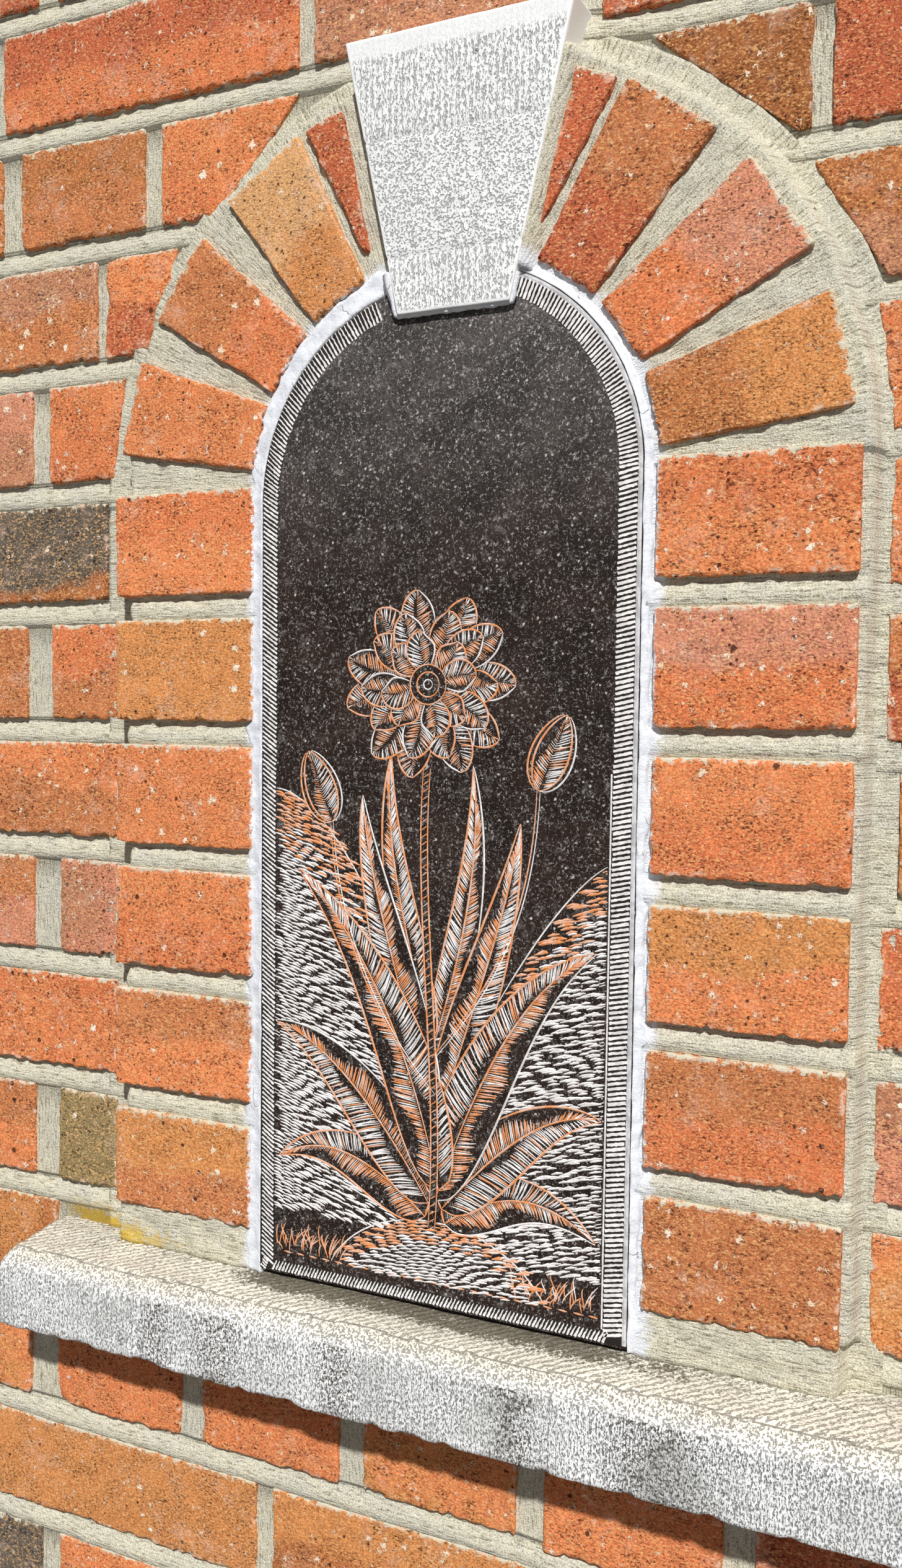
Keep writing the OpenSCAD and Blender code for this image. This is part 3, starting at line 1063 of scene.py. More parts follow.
joints = {"flush": 0.8 * mm, "under": 4.8 * mm, "upright": 3.2 * mm, "bed": 14.5 * mm}
wallMortar = {
    # Heights of the mesh's rows over the foot of a course, close in view and elsewhere
    "nearRows": (0.5, 1.6, 16, 31, 45, 59.5, 61.2, 65, 69, 72, 75.4),
    "farRows": (0.5, 1.8, 59.5, 61.2, 66, 70, 75.4),
    "nearCourses": (11, 26),
    # Its columns: how many, left of what is seen close, there, right of it, at an end, behind
    "columns": (12, 124, 18, 18, 66),
    "nearLeft": -352 * mm,
    "nearRight": 262 * mm,
    "endInset": 3 * mm,
    "topInset": 4.5 * mm,
    "clear": 40 * mm,
    # Half the sill's length, its middle over the panel's foot, and half its height
    "behindSill": (280 * mm, -37 * mm, 19 * mm),
}


def jointDepth(z, points):
    # How far the mortar lies back: flush on the brick below, brushed out under the one above
    up = np.mod(z - brickRise, courseRise)
    bed = joints["flush"] + (joints["under"] - joints["flush"]) * ease(up, 5 * mm, 14 * mm)
    depth = np.where(up <= joints["bed"], bed, joints["upright"])
    long = points * (0.3, 0.3, 1.0)
    return depth + 0.55 * mm * lumps(long, 4 * mm, 3) + 0.5 * mm * lumps(points, 3.5 * mm, 4)


def wallPlan(settings):
    # The mortar's outline from above: x, y and the way out of the wall
    def steps(start, end, count):
        return np.linspace(start, end, count, endpoint=False)

    right = -wallLow.x - settings["endInset"]
    before, near, after, end, behind = settings["columns"]
    xs = np.concatenate([
        steps(-right, settings["nearLeft"], before),
        steps(settings["nearLeft"], settings["nearRight"], near),
        steps(settings["nearRight"], right, after),
    ])
    ends = steps(wallY + settings["endInset"], backY - settings["endInset"], end)
    plan = [(x, wallY, 0, -1) for x in xs] + [(right, y, 1, 0) for y in ends]
    plan += [(x, backY, 0, 1) for x in steps(right, -right, behind)]
    return np.array(plan + [(-right, y, -1, 0) for y in ends[::-1]])


def fillWall(settings):
    rows, top = [wallLow.z], capHigh.z - settings["topInset"]
    first, last = settings["nearCourses"]
    for n in range(wallWork["courses"]):
        heights = settings["nearRows" if first <= n <= last else "farRows"]
        rows += [n * courseRise + height * mm for height in heights]
    rows += [*np.linspace(capLow.z + 2 * mm, top - 3 * mm, 8), top, top]
    plan = wallPlan(settings)
    z = np.repeat(np.array(rows)[:, None], len(plan), 1)
    points = np.stack([0 * z + plan[:, 0], 0 * z + plan[:, 1], z], -1)
    inCapping = z > capLow.z
    inset = np.where(inCapping, joints["upright"] + 1 * mm, jointDepth(z, points))
    inset[-2] += 2 * mm
    inset[-1] += 9 * mm
    # Behind the panel, its surround and the sill the mortar keeps clear
    onFront, x = plan[:, 3] < 0, points[..., 0]
    points[..., 2] += np.where(onFront & ~inCapping, courseDrop(x, z), 0)
    behindArch = np.hypot(x, np.maximum(z - archZ, 0)) < surroundR - 6 * mm
    behindArch &= z > footZ - 40 * mm
    half, middle, reach = settings["behindSill"]
    behindSill = (np.abs(x) < half) & (np.abs(z - footZ - middle) < reach)
    inset = np.where(onFront & (behindArch | behindSill), settings["clear"], inset)
    points[..., :2] -= inset[..., None] * plan[:, 2:]
    across = points[..., 0] + points[..., 1]
    level = np.mod(z - brickRise, courseRise) <= joints["bed"] + 1 * mm
    brushed = np.stack([np.where(level, across, z), np.where(level, z, across), 0 * z], -1)
    mesh = shellMesh("wallMortar", points, {"brushed": brushed})
    addPiece("wallMortar", mesh, mortarFinish, "mortar")


fillWall(wallMortar)
say("wall pointed")

archHalf = (openingR + surroundR) / 2
archFoot = footZ - 3 * mm  # the surround's joints start a little under the panel
archRise, archArc = archZ - archFoot, math.pi * archHalf


def archPath(s, radius):
    # Points at that radius, s metres along the middle of the surround from its left foot
    angle = math.pi * (1 - np.clip((s - archRise) / archArc, 0, 1))
    past = s - archRise - archArc
    straight = np.where(s < archRise, s - archRise, np.where(past > 0, -past, 0))
    return radius * np.cos(angle), archZ + radius * np.sin(angle) + straight


keyStone = {
    "middle": 8 * mm,
    "footHalf": 33 * mm,
    "arris": 1.1 * mm,
    "cells": (92, 12, 104, 1.15, 2.6),
    # The pecked part of its face lies between two lines cut across it
    "pecked": (30.5 * mm, 94.5 * mm),
    "lineWidth": 0.9 * mm,
    "lineDepth": 0.9 * mm,
    "chiselDepth": 0.16 * mm,
    "peckDepth": 0.3 * mm,
    "smoothFoot": 136 * mm,
    "stain": (12 * mm, 131 * mm, 3 * mm),
}
surroundJoints = {
    "back": 3.4 * mm,
    "step": 8 * mm,
    "cell": 2.4 * mm,
    # Radii past the opening's edge, and past the surround's: from, to and how many
    "inner": (-5, -14, 30),
    "edge": (-12, 4, 9),
    "outer": (6, 19, 7),
    "bedHeight": 23 * mm,
    "rear": 34 * mm,
}


def keystoneFill(radii, x, z):
    # Where the mortar is filled out flush with the keystone's right edge
    low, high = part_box("keystone")
    rise = (z - low.z) / (high.z - low.z)
    foot = keyStone["middle"] + keyStone["footHalf"]
    flank = x - (1 - rise) * foot - rise * high.x
    filled = ease(flank, 10 * mm, 2 * mm) * (flank > -20 * mm) * ease(rise, -0.02, 0.04)
    return filled * ease(radii, surroundR + 14 * mm, surroundR + 4 * mm), low.y + 1.2 * mm - faceY


def surroundSheet(settings, s):
    inner, edge, outer = settings["inner"], settings["edge"], settings["outer"]
    radii = np.concatenate([
        np.linspace(openingR + inner[0] * mm, surroundR + inner[1] * mm, inner[2]),
        np.linspace(surroundR + edge[0] * mm, surroundR + edge[1] * mm, edge[2]),
        np.linspace(surroundR + outer[0] * mm, surroundR + outer[1] * mm, outer[2]),
    ])[None]
    x, z = archPath(s[:, None], radii)
    flat = np.stack([x, 0 * x, z], -1)
    onJamb, low = z < archZ, z < footZ + settings["bedHeight"]
    arched = 0.8 * mm * lumps(flat, 9 * mm, 5) + 0.5 * mm * lumps(flat, 3.5 * mm, 6)
    depth = np.where(onJamb, jointDepth(z, flat) + 0.8 * mm, settings["back"] + arched)
    depth = np.where(low, 2.2 * mm + 1.1 * mm * lumps(flat, 7 * mm, 8), depth)
    # The ring's edge dies away inside the bricks at the lower left, outside them elsewhere
    ragged = (x < 0) * (1 - ease(z, archZ + 60 * mm, archZ + 120 * mm))
    rim = surroundR + 3 * mm - (settings["step"] + 3 * mm) * ragged
    rim = rim + (1.5 * mm + 2 * mm * ragged) * lumps(flat, 16 * mm, 7)
    rim = np.where(low, surroundR - 2 * mm, rim)
    fall = ease(radii, rim, rim + 5 * mm)
    onWall = wallY - faceY + 1.2 * mm + 0.6 * mm * lumps(flat, 5 * mm, 9)
    depth = depth * (1 - fall) + fall * onWall
    fillet = ease(radii, surroundR + 8 * mm, surroundR - 3 * mm) * (x > 0) * fall
    depth = depth - fillet * 5 * mm * (0.6 + 0.5 * lumps(flat, 20 * mm, 10))
    filled, flush = keystoneFill(radii, x, z)
    depth = depth + filled * (flush - depth)
    along = np.where(onJamb, x, np.hypot(x, z - archZ))
    across = np.where(onJamb, z, s[:, None] + 0 * x)
    brushed = np.stack([along, across, 0 * x], -1)
    points = np.stack([x, faceY + depth, z], -1)
    return closed(points, wallY + settings["rear"]), {"brushed": closed(brushed, None)}


def pointSurround(settings):
    bed, length = jambLow.z - archFoot, 2 * archRise + archArc
    s = np.arange(bed - 1 * mm, length - bed + 1 * mm, settings["cell"])
    mesh = shellMesh("surroundMortar", *surroundSheet(settings, s))
    addPiece("surroundMortar", mesh, mortarFinish, "mortar", "surround_mortar")
    beds = []
    for start, end in ((0, bed + 1 * mm), (length - bed - 1 * mm, length)):
        beds.append(shellMesh("sillBed", *surroundSheet(settings, np.linspace(start, end, 12))))
    addPiece("sillBedMortar", joined("sillBedMortar", beds), mortarFinish, "mortar", "sill_mortar")


pointSurround(surroundJoints)
say("surround pointed")

panelStone = {"radius": 114.0 * mm, "leftDrop": 7 * mm, "lean": 2.0 * mm}


def panelDrop(x, z):
    # The left shoulder of the panel lies lower than the right one
    return panelStone["leftDrop"] * ease(-x, -40 * mm, 30 * mm) * ease(z, archZ - 60 * mm, archZ)


def panelLean(x, z):
    # Its left edge stands a little nearer the middle at the foot
    below = np.clip((archZ - z) / (archZ - footZ), 0, 1)
    return panelStone["lean"] * ease(-x, 60 * mm, 100 * mm) * below


def carvePanel(settings):
    angle = np.linspace(0, math.pi, 97)
    x = np.concatenate([[1], np.cos(angle), [-1]]) * settings["radius"]
    z = np.concatenate([[footZ], archZ + np.sin(angle) * settings["radius"], [footZ]])
    x, z = x + panelLean(x, z), z - panelDrop(x, z)
    points = np.array([np.stack([x, y + 0 * x, z], -1) for y in (panelLow.y, panelHigh.y)])
    mesh = shellMesh("panelStone", points, {})
    addPiece("panelStone", mesh, slateFinish, "dark_stone", "panel", smooth=False)


carvePanel(panelStone)

# Of each side: the inner edge, the outer edge and the lap over the bed joints
pointing = {
    "left": (114.3 * mm, 124.0 * mm, 3 * mm),
    "right": (114.3 * mm, 118.8 * mm, 4 * mm),
    "cell": 1.8 * mm,
    # The hollow across its width, in millimetres behind the face
    "acrossAt": (0, 0.08, 0.2, 0.5, 0.8, 1),
    "hollow": (0.3, -0.3, 0.6, 1.4, 1.6, 4.4),
    "rear": 20 * mm,
}


def pointPanel(settings):
    s = np.arange(0, 2 * archRise + archArc, settings["cell"])[:, None]
    t = np.linspace(0, 1, 11)
    x0, z0 = archPath(s, openingR)
    line = np.stack([x0, 0 * x0, z0], -1)
    up = np.mod(z0 - brickRise, courseRise)
    joint = ease(up, 1 * mm, 4 * mm) * ease(up, 15 * mm, 11 * mm) * (z0 < archZ)
    side = ease(x0, -20 * mm, 20 * mm)
    inner, outer, lap = (a + (b - a) * side for a, b in zip(settings["left"], settings["right"]))
    inner = inner + (0.4 - 0.2 * side) * mm * lumps(line, 8 * mm, 11) - panelLean(x0, z0)
    outer = outer + (1.8 - 1.0 * side) * mm * lumps(line, 6 * mm, 12)
    outer = outer + 1.2 * mm * lumps(line, 17 * mm, 13)
    outer = outer + lap * joint * (1 + 0.5 * lumps(line, 9 * mm, 17))
    x, z = archPath(s, inner + (outer - inner) * t)
    z = z - panelDrop(x0, z0) * (1 - t)
    flat = np.stack([x, 0 * x, z], -1)
    depth = np.interp(t, settings["acrossAt"], settings["hollow"]) * mm
    depth = depth + 0.45 * mm * lumps(flat, 5 * mm, 14) + 0.3 * mm * lumps(flat, 14 * mm, 15)
    points = closed(np.stack([x, faceY + depth, z], -1), faceY + settings["rear"])
    addPiece("panelPointing", shellMesh("panelPointing", points, {}), whiteFinish, "white_mortar",
             "panel_pointing")


pointPanel(pointing)
say("panel pointed")

panelPlace = (0.0, faceY, footZ)


def standUp(g, geometry, given):
    # Stands what was drawn flat on the panel, and ends its tree
    sockets = {"Geometry": geometry, "Translation": given["Place"], "Rotation": (math.pi / 2, 0, 0)}
    endTree(g, g.out("GeometryNodeTransform", None, sockets), given["Finish"])
    return g


def linesTree():
    # Sweeps a low ridge along flat lines, thick where their radius is
    sockets = {"Width": "Float", "Rise": "Float", "Place": "Vector", "Finish": "Material"}
    g, given = geometryTree("engravedLines", sockets)
    lines = g.out("GeometryNodeSetCurveNormal", {"mode": "Z_UP"}, {"Curve": given["Geometry"]})
    ring = g.out("GeometryNodeCurvePrimitiveCircle", None, {"Resolution": 4, "Radius": 0.5})
    section = g.join(given["Width"], given["Rise"] * 2, 1.0)
    ring = g.out("GeometryNodeTransform", None, {"Geometry": ring, "Scale": section})
    sockets = {"Curve": lines, "Profile Curve": ring, "Scale": g.out("GeometryNodeInputRadius")}
    swept = g.out("GeometryNodeCurveToMesh", None, {**sockets, "Fill Caps": True})
    return standUp(g, swept, given)


def hatchTree():
    # Short strokes across a path at an even pitch, narrower at their outer ends
    sockets = {"Pitch": "Float", "Length": "Float", "Width": "Float", "Rise": "Float"}
    sockets.update({"Slant": "Float", "Taper": "Float", "Place": "Vector", "Finish": "Material"})
    g, given = geometryTree("hatchedBand", sockets)
    sockets = {"Curve": given["Geometry"], "Length": given["Pitch"]}
    points = g.node("GeometryNodeCurveToPoints", {"mode": "LENGTH"}, sockets)
    tangent = {"Vector": Wire(g, points.outputs["Tangent"])}
    along = g.out("FunctionNodeAlignRotationToVector", {"axis": "X"}, tangent)
    lean = g.out("FunctionNodeEulerToRotation", None, {0: g.join(0.0, 0.0, given["Slant"])})
    turned = g.out("FunctionNodeRotateRotation", {"rotation_space": "LOCAL"}, {0: along, 1: lean})
    size = g.join(given["Width"], given["Length"], given["Rise"] * 2)
    cells = {"Size": (1.0, 1.0, 1.0), "Vertices X": 2, "Vertices Y": 9, "Vertices Z": 2}
    place = g.out("GeometryNodeInputPosition")
    x, y, z = g.split(place)
    slim = g.join(x * (1 - given["Taper"] * (y + 0.5)), y, z) * size
    sockets = {"Geometry": g.out("GeometryNodeMeshCube", None, cells), "Position": slim}
    bar = g.out("GeometryNodeSetPosition", None, sockets)
    reach, thick = (
        g.out("FunctionNodeRandomValue", {"data_type": "FLOAT"}, {2: low, 3: high, 8: seed}, 1)
        for low, high, seed in ((0.93, 1.05, 4), (0.84, 1.16, 9))
    )
    sockets = {"Points": Wire(g, points.outputs["Points"]), "Instance": bar}
    sockets.update({"Rotation": turned, "Scale": g.join(thick, reach, 1.0)})
    bars = g.out("GeometryNodeInstanceOnPoints", None, sockets)
    bars = g.out("GeometryNodeRealizeInstances", None, {0: bars})
    ragged = [g.shake(place * way, 1.5 * mm, 2, 0.5, 1.4 * mm) for way in (1.0, 1.3)]
    sockets = {"Geometry": bars, "Offset": g.join(ragged[0], ragged[1], 0.0)}
    return standUp(g, g.out("GeometryNodeSetPosition", None, sockets), given)


engravedLines, hatchedBand = linesTree(), hatchTree()


def flatLines(name, lines):
    # Lines of (points, radii) in millimetres on the panel: x, and height above its foot
    curve = bpy.data.curves.new(name, "CURVE")
    curve.dimensions = "3D"
    for points, radii in lines:
        spline = curve.splines.new("POLY")
        spline.points.add(len(points) - 1)
        flat = np.zeros((len(points), 4))
        flat[:, :2] = np.asarray(points) * mm
        spline.points.foreach_set("co", flat.ravel())
        spline.points.foreach_set("radius", np.ones(len(points)) * radii)
    return curve


def sweepLines(name, lines, width, rise, finish, place=panelPlace):
    values = {"Width": width, "Rise": rise, "Place": place, "Finish": finish}
    return grow(name, flatLines(name, lines), engravedLines, values)


# In millimetres, and of each stretch of the border: its strokes' pitch, length and width, their
# slant in radians, and the share of their width that they lose to the outside
border = {
    "radius": 107.45,
    "shift": -1.1,
    "rise": 0.22,
    "left": (2.66, 11.8, 1.18, -0.585, 0.3),
    "leftArch": (2.3, 11.2, 1.25, -0.585, 0.6),
    "right": (2.66, 10.3, 1.42, 0.22, 0.0),
    "rightArch": (2.3, 10.3, 1.3, 0.12, 0.1),
    "foot": (2.2, 6.4, 1.35, -0.45, 0.6),
    "corner": (1.7, 4.0, 1.1, -0.225, 0.3),
    "footHeight": 4.0,
    "sideFoot": 7,
    "lean": 0.9,
    # Width and rise of the groove under the strokes, of the rim and of the line inside
    "groove": (10.4, 0.06),
    "rim": (2.4, 0.25),
    "innerLine": (0.9, 0.25),
    "rimRadius": 112.7,
    "innerAcross": 100.3,
    "innerHigh": 300.0,
    "keyLeft": -39.0,
    "keyRight": 45.0,
}


def cutBorder(settings):
    # The left side is cut on the slant, and its strokes turn square to the edge round the arch
    spring, drop = (archZ - footZ) / mm, panelStone["leftDrop"] / mm
    r, shift, level = settings["radius"], settings["shift"], settings["footHeight"]
    meshes = []

    def hatch(path, stretch, share=1.0, reach=1.0):
        pitch, length, width, slant, taper = settings[stretch]
        sizes = {"Pitch": pitch, "Length": length * reach, "Width": width, "Rise": settings["rise"]}
        values = {name: size * mm for name, size in sizes.items()}
        values.update({"Slant": slant * share, "Taper": taper})
        values.update({"Place": panelPlace, "Finish": cutFinishes["white"]})
        meshes.append(grow("border", flatLines("border", [(path, 1.0)]), hatchedBand, values))

    def line(path, width, rise, finish):
        sizes = width * mm, rise * mm
        meshes.append(sweepLines("line", [(path, 1.0)], *sizes, cutFinishes[finish]))

    def arc(start, end, height, radius=r, across=shift, count=24):
        angles = np.linspace(start, end, count)
        return [(across + radius * math.cos(a), height + radius * math.sin(a)) for a in angles]

    first = math.pi - math.acos(-(settings["keyLeft"] - shift) / r)
    last = math.acos((settings["keyRight"] - shift) / r)
    foot, top, lean = settings["sideFoot"], spring - drop, settings["lean"]
    side = [(shift - r + lean * (3 - k) / 3, foot + (top - foot) * k / 3) for k in range(4)]
    # Each stretch starts one stroke after the end of the one before
    gap, arcGap = settings["left"][0], settings["leftArch"][0]
    for k in range(3):
        start = (side[k][0], side[k][1] + gap * (k > 0))
        hatch([start, side[k + 1]], "left", reach=0.82 + 0.08 * k)
    turns = np.linspace(math.pi, first, 6)
    for k in range(5):
        hatch(arc(turns[k] - arcGap / r, turns[k + 1], top), "leftArch", 0.89 - 0.23 * k)
    hatch(arc(last, 0, spring), "rightArch")
    hatch([(shift + r, spring - gap), (shift + r, 6)], "right")
    hatch([(shift - r + 6, level), (shift + r - 4, level)], "foot")
    hatch([(shift - r - 2, 1.6), (shift - r - 0.2, 6.4)], "corner")

    width, rise = settings["groove"]
    line([(side[0][0], 1)] + side[1:3] + arc(math.pi, first, top), width, rise, "groove")
    line(arc(last, 0, spring) + [(shift + r, 1)], width, rise, "groove")
    line([(shift - r, level), (shift + r, level)], settings["foot"][1], rise, "groove")
    x, rim = settings["innerAcross"], settings["rimRadius"]
    line([(x, 8), (x, settings["innerHigh"])], *settings["innerLine"], "white")
    line([(rim, 1.5)] + arc(0, math.pi / 2, spring, rim, 0.0, 48), *settings["rim"], "rim")
    mesh = joined("panelBorder", meshes)
    addPiece("panelBorder", mesh, cutFinishes["white"], "light_stone", smooth=False)


cutBorder(border)
say("border cut")

# All places and sizes are in millimetres on the panel: x, and height above its foot
picture = {
    "white": 0.6,
    "copper": 0.68,
    "rise": 0.16,
    "hatchPitch": 1.25,
    "hillPitch": 1.85,
    "left": -104,
    "right": 99.5,
    "foot": 12,
    "flower": (-6.0, 346.0),
    "core": 11.0,
    "flowerRadius": 52.0,
    # Each ring's petals: how many, and their tip, root and width as shares of that radius
    "petals": ((8, 0.56, 0.16, 0.34), (10, 0.8, 0.3, 0.36), (11, 1.0, 0.4, 0.4)),
    # Each bud's place and way up, and the turn and lit side of its three leaves
    "buds": (((-66, 268), 1.95), ((60, 290), 1.2)),
    "budLeaves": ((0.0, -1), (-0.42, 1), (0.42, -1)),
    # Curves by their four control points; a leaf's width and lit side come after them
    "leaves": (
        ((4, 66), (-10, 130), (-40, 200), (-88, 240), 34, -1),
        ((2, 60), (24, 126), (52, 186), (94, 206), 34, 1),
        ((-2, 58), (-30, 100), (-66, 142), (-103, 150), 34, 1),
        ((6, 56), (36, 90), (66, 122), (98, 118), 33, -1),
        ((0, 96), (-16, 170), (-44, 236), (-46, 284), 26, 1),
        ((2, 100), (22, 168), (44, 222), (50, 272), 26, -1),
        ((-4, 50), (-34, 74), (-66, 92), (-100, 70), 31, -1),
        ((8, 48), (36, 70), (64, 78), (96, 52), 30, 1),
        ((-1, 150), (-18, 206), (-34, 262), (-28, 308), 19, -1),
        ((1, 150), (18, 204), (28, 256), (22, 302), 19, 1),
    ),
    "stem": ((0, 44), (6, 130), (-12, 220), (-6, 300)),
    "stemHalf": 2.1,
    "stalks": (
        ((0, 120), (-30, 150), (-62, 200), (-66, 268)),
        ((0, 140), (34, 180), (58, 220), (60, 290)),
    ),
    "mound": ((-62, 8), (-44, 30), (-16, 46), (16, 47), (46, 31), (66, 8)),
    # Each hill's crest, foot, depth of its copper strokes and their lean
    "nearHill": (((-64, 14), (-40, 58), (40, 60), (68, 14)), 12, 9, -0.12),
    "farHills": (
        (((20, 140), (50, 200), (84, 248), (104, 254)), 30, 22, -0.25),
        (((-106, 286), (-84, 288), (-44, 250), (-10, 160)), 40, 26, 0.3),
    ),
    "hillDepth": 260,
    # Tufts of grass: root, blades, spread and tone
    "nearGrass": (((-80, 14), 26, 44, "copper"), ((70, 14), 26, 50, "copper")),
    "farGrass": (((-40, 16), 20, 90, "copper"), ((50, 16), 20, 90, "white")),
}
drawn = {"white": [], "copper": [], "taken": []}
drawing = np.random.default_rng(19)


def inside(points, outline):
    x, y = points[:, :1], points[:, 1:]
    x0, y0 = outline[:, 0], outline[:, 1]
    x1, y1 = np.roll(x0, -1), np.roll(y0, -1)
    crossing = ((y0 > y) != (y1 > y)) & (x < (x1 - x0) * (y - y0) / (y1 - y0 + 1e-12) + x0)
    return crossing.sum(1) % 2 == 1


def resampled(points, step):
    points = np.asarray(points, float)
    gaps = np.linalg.norm(np.diff(points, axis=0), axis=1)
    s = np.concatenate([[0], np.cumsum(gaps)])
    at = np.linspace(0, s[-1], max(2, int(s[-1] / step) + 2))
    return np.stack([np.interp(at, s, points[:, k]) for k in range(2)], 1)


def draw(kind, points, width=1.0, step=3.0, clip=True):
    # Draws a line where nothing lies in front of it, thin at both its ends
    fine = resampled(points, 0.9 if clip else step)
    shown = (fine[:, 0] > picture["left"]) & (fine[:, 0] < picture["right"])
    shown &= fine[:, 1] > picture["foot"]
    if clip:
        for outline, low, high in drawn["taken"]:
            if (fine.max(0) > low).all() and (fine.min(0) < high).all():
                shown &= ~inside(fine, outline)
    edges = np.flatnonzero(np.diff(np.concatenate([[0], shown, [0]])))
    for start, end in zip(edges[::2], edges[1::2]):
        if end - start > 1:
            part = resampled(fine[start:end], step)
            swell = np.sin(math.pi * np.linspace(0, 1, len(part))) ** 0.6
            drawn[kind].append((part, width * (0.45 + 0.75 * swell)))


def cover(outline):
    # Keeps what is drawn later out of that outline
    outline = np.asarray(outline, float)
    drawn["taken"].append((outline, outline.min(0), outline.max(0)))


def towards(angle):
    return np.array([math.cos(angle), math.sin(angle)])


def beside(way):
    return np.array([-way[1], way[0]])


def bezier(ends, count=40):
    t = np.linspace(0, 1, count)[:, None]
    a, b, c, d = (np.asarray(p, float) for p in ends)
    return (1 - t) ** 3 * a + 3 * (1 - t) ** 2 * t * b + 3 * (1 - t) * t * t * c + t ** 3 * d


def engraveLeaf(settings, spine, width, lit=-1, swell=0.55, rib=True):
    # A leaf with two drawn edges, mostly a rib, and slanting strokes on both halves
    count = len(spine)
    t = np.linspace(0, 1, count)
    tangent = unitRows(np.gradient(spine, axis=0))
    normal = np.stack([-tangent[:, 1], tangent[:, 0]], 1)
    half = width / 2 * np.sin(math.pi * t ** swell) ** 0.85
    half[-1] = 0
    left, right = spine + normal * half[:, None], spine - normal * half[:, None]
    length = np.linalg.norm(np.diff(spine, axis=0), axis=1).sum()
    bold = 1.6 if rib else 1.4
    draw("copper", left, bold)
    draw("copper" if lit < 0 else "white", right, bold)
    if rib:
        draw("copper", spine[: int(count * 0.94)], 1.3)
    steps = max(4, int(length / settings["hatchPitch"]))
    for side in (-1, 1):
        for k in range(steps):
            at = 0.03 + 0.93 * k / steps
            ahead = min(at + (0.045 + 0.03 * drawing.random()) * (60 / length + 0.4), 0.99)
            a = np.array([np.interp(at, t, spine[:, j]) for j in range(2)])
            h = np.interp(ahead, t, half) * side
            b = np.array([np.interp(ahead, t, spine[:, j] + normal[:, j] * h) for j in range(2)])
            wave = 0.5 + 0.5 * math.sin(at * length / 7.5 + side)
            kinds, near, far = ["copper", "white"], 0.06, 0.97
            if side == lit:
                kinds = ["white", "copper"]
                near = 0.3 - 0.28 * wave + 0.1 * drawing.random()
            else:
                far = 0.4 + 0.45 * wave - 0.14 * drawing.random()
            kind = kinds[drawing.random() < 0.22]
            bow = resampled([a, a + (b - a) * (0.5, 0.42), b], 1.2)
            first, last = int(near * len(bow)), int(math.ceil(far * len(bow)))
            if last - first > 1:
                draw(kind, bow[first:last], 0.85 + 0.3 * drawing.random(), 4.5)
    cover(np.concatenate([left, right[::-1]]))


def engraveFlower(settings, centre, radius):
    for ring, (count, reach, inner, width) in enumerate(settings["petals"]):
        for k in range(count):
            way = towards(2 * math.pi * (k + 0.5 * (ring % 2)) / count + 0.13 + ring * 0.21)
            bend = beside(way) * radius * 0.06 * (-1) ** k
            root, tip = centre + way * radius * inner * 0.7, centre + way * radius * reach
            spine = bezier((root, root + way * radius * 0.2 + bend, tip - way * 4 + bend, tip), 24)
            engraveLeaf(settings, spine, radius * width, -1 if k % 2 else 1, 0.95, rib=False)


def engraveCore(centre, radius):
    angle = np.linspace(0, 2 * math.pi, 30)
    circle = np.stack([np.cos(angle), np.sin(angle)], 1) * radius
    for share in (1.0, 0.62, 0.25):
        draw("copper" if share > 0.5 else "white", circle * share + centre, 1.1, 1.5)
    for k in range(22):
        spot = centre + towards(k * 2.4) * radius * 0.2 * math.sqrt(k)
        draw("white", [spot, spot + (0.5, 0.5)], 1.3, 1.0, clip=False)
    cover(circle[:-1] + centre)


def engraveBud(settings, place, way):
    step = towards(way)
    for turn, lit in settings["budLeaves"]:
        aim = step * math.cos(turn) + beside(step) * math.sin(turn)
        bud = np.array(place, float)
        ends = (bud, bud + aim * 12, bud + step * 30 + aim * 5, bud + step * 38 + aim * 5)
        engraveLeaf(settings, bezier(ends, 24), 19, lit, 0.8, rib=False)


def engraveStems(settings):
    stem, half = bezier(settings["stem"], 60), settings["stemHalf"]
    for side in (-half, half):
        draw("copper", stem + (side, 0), 1.2)
    for k in range(150):
        at = stem[min(59, int(k * 0.4))]
        draw("white" if k % 3 else "copper", [at + (-1.7, -1.0), at + (1.7, 1.4)], 0.8, 2.0)
    for ends in settings["stalks"]:
        stalk = bezier(ends)
        draw("copper", stalk + (-0.9, 0), 1.1)
        draw("white", stalk + (0.9, 0), 1.0)
    cover(np.concatenate([stem + (-half, 0), stem[::-1] + (half, 0)]))


def engraveHill(settings, crest, foot, copperDepth, lean):
    # Rows of short strokes that follow the crest, copper near the top and white below
    crest = bezier(crest, 60)
    draw("white", crest, 1.2)
    depth = 1.5
    while depth < settings["hillDepth"]:
        row = crest - np.array([0, depth])
        x = row[0, 0] + drawing.random() * 8
        while x < row[-1, 0]:
            length = 5 + 4 * drawing.random()
            z = np.interp(x, row[:, 0], row[:, 1])
            if z > foot:
                end = z - length * lean
                kind = "copper" if depth < copperDepth * (0.6 + drawing.random()) else "white"
                middle = (x + length * 0.5, (z + end) / 2 + 0.4)
                draw(kind, [(x, z), middle, (x + length, end)], 1.65 + 0.5 * drawing.random(), 4.5)
            x += length * 0.9 + 0.5
        depth += settings["hillPitch"] * (0.9 + 0.2 * drawing.random())


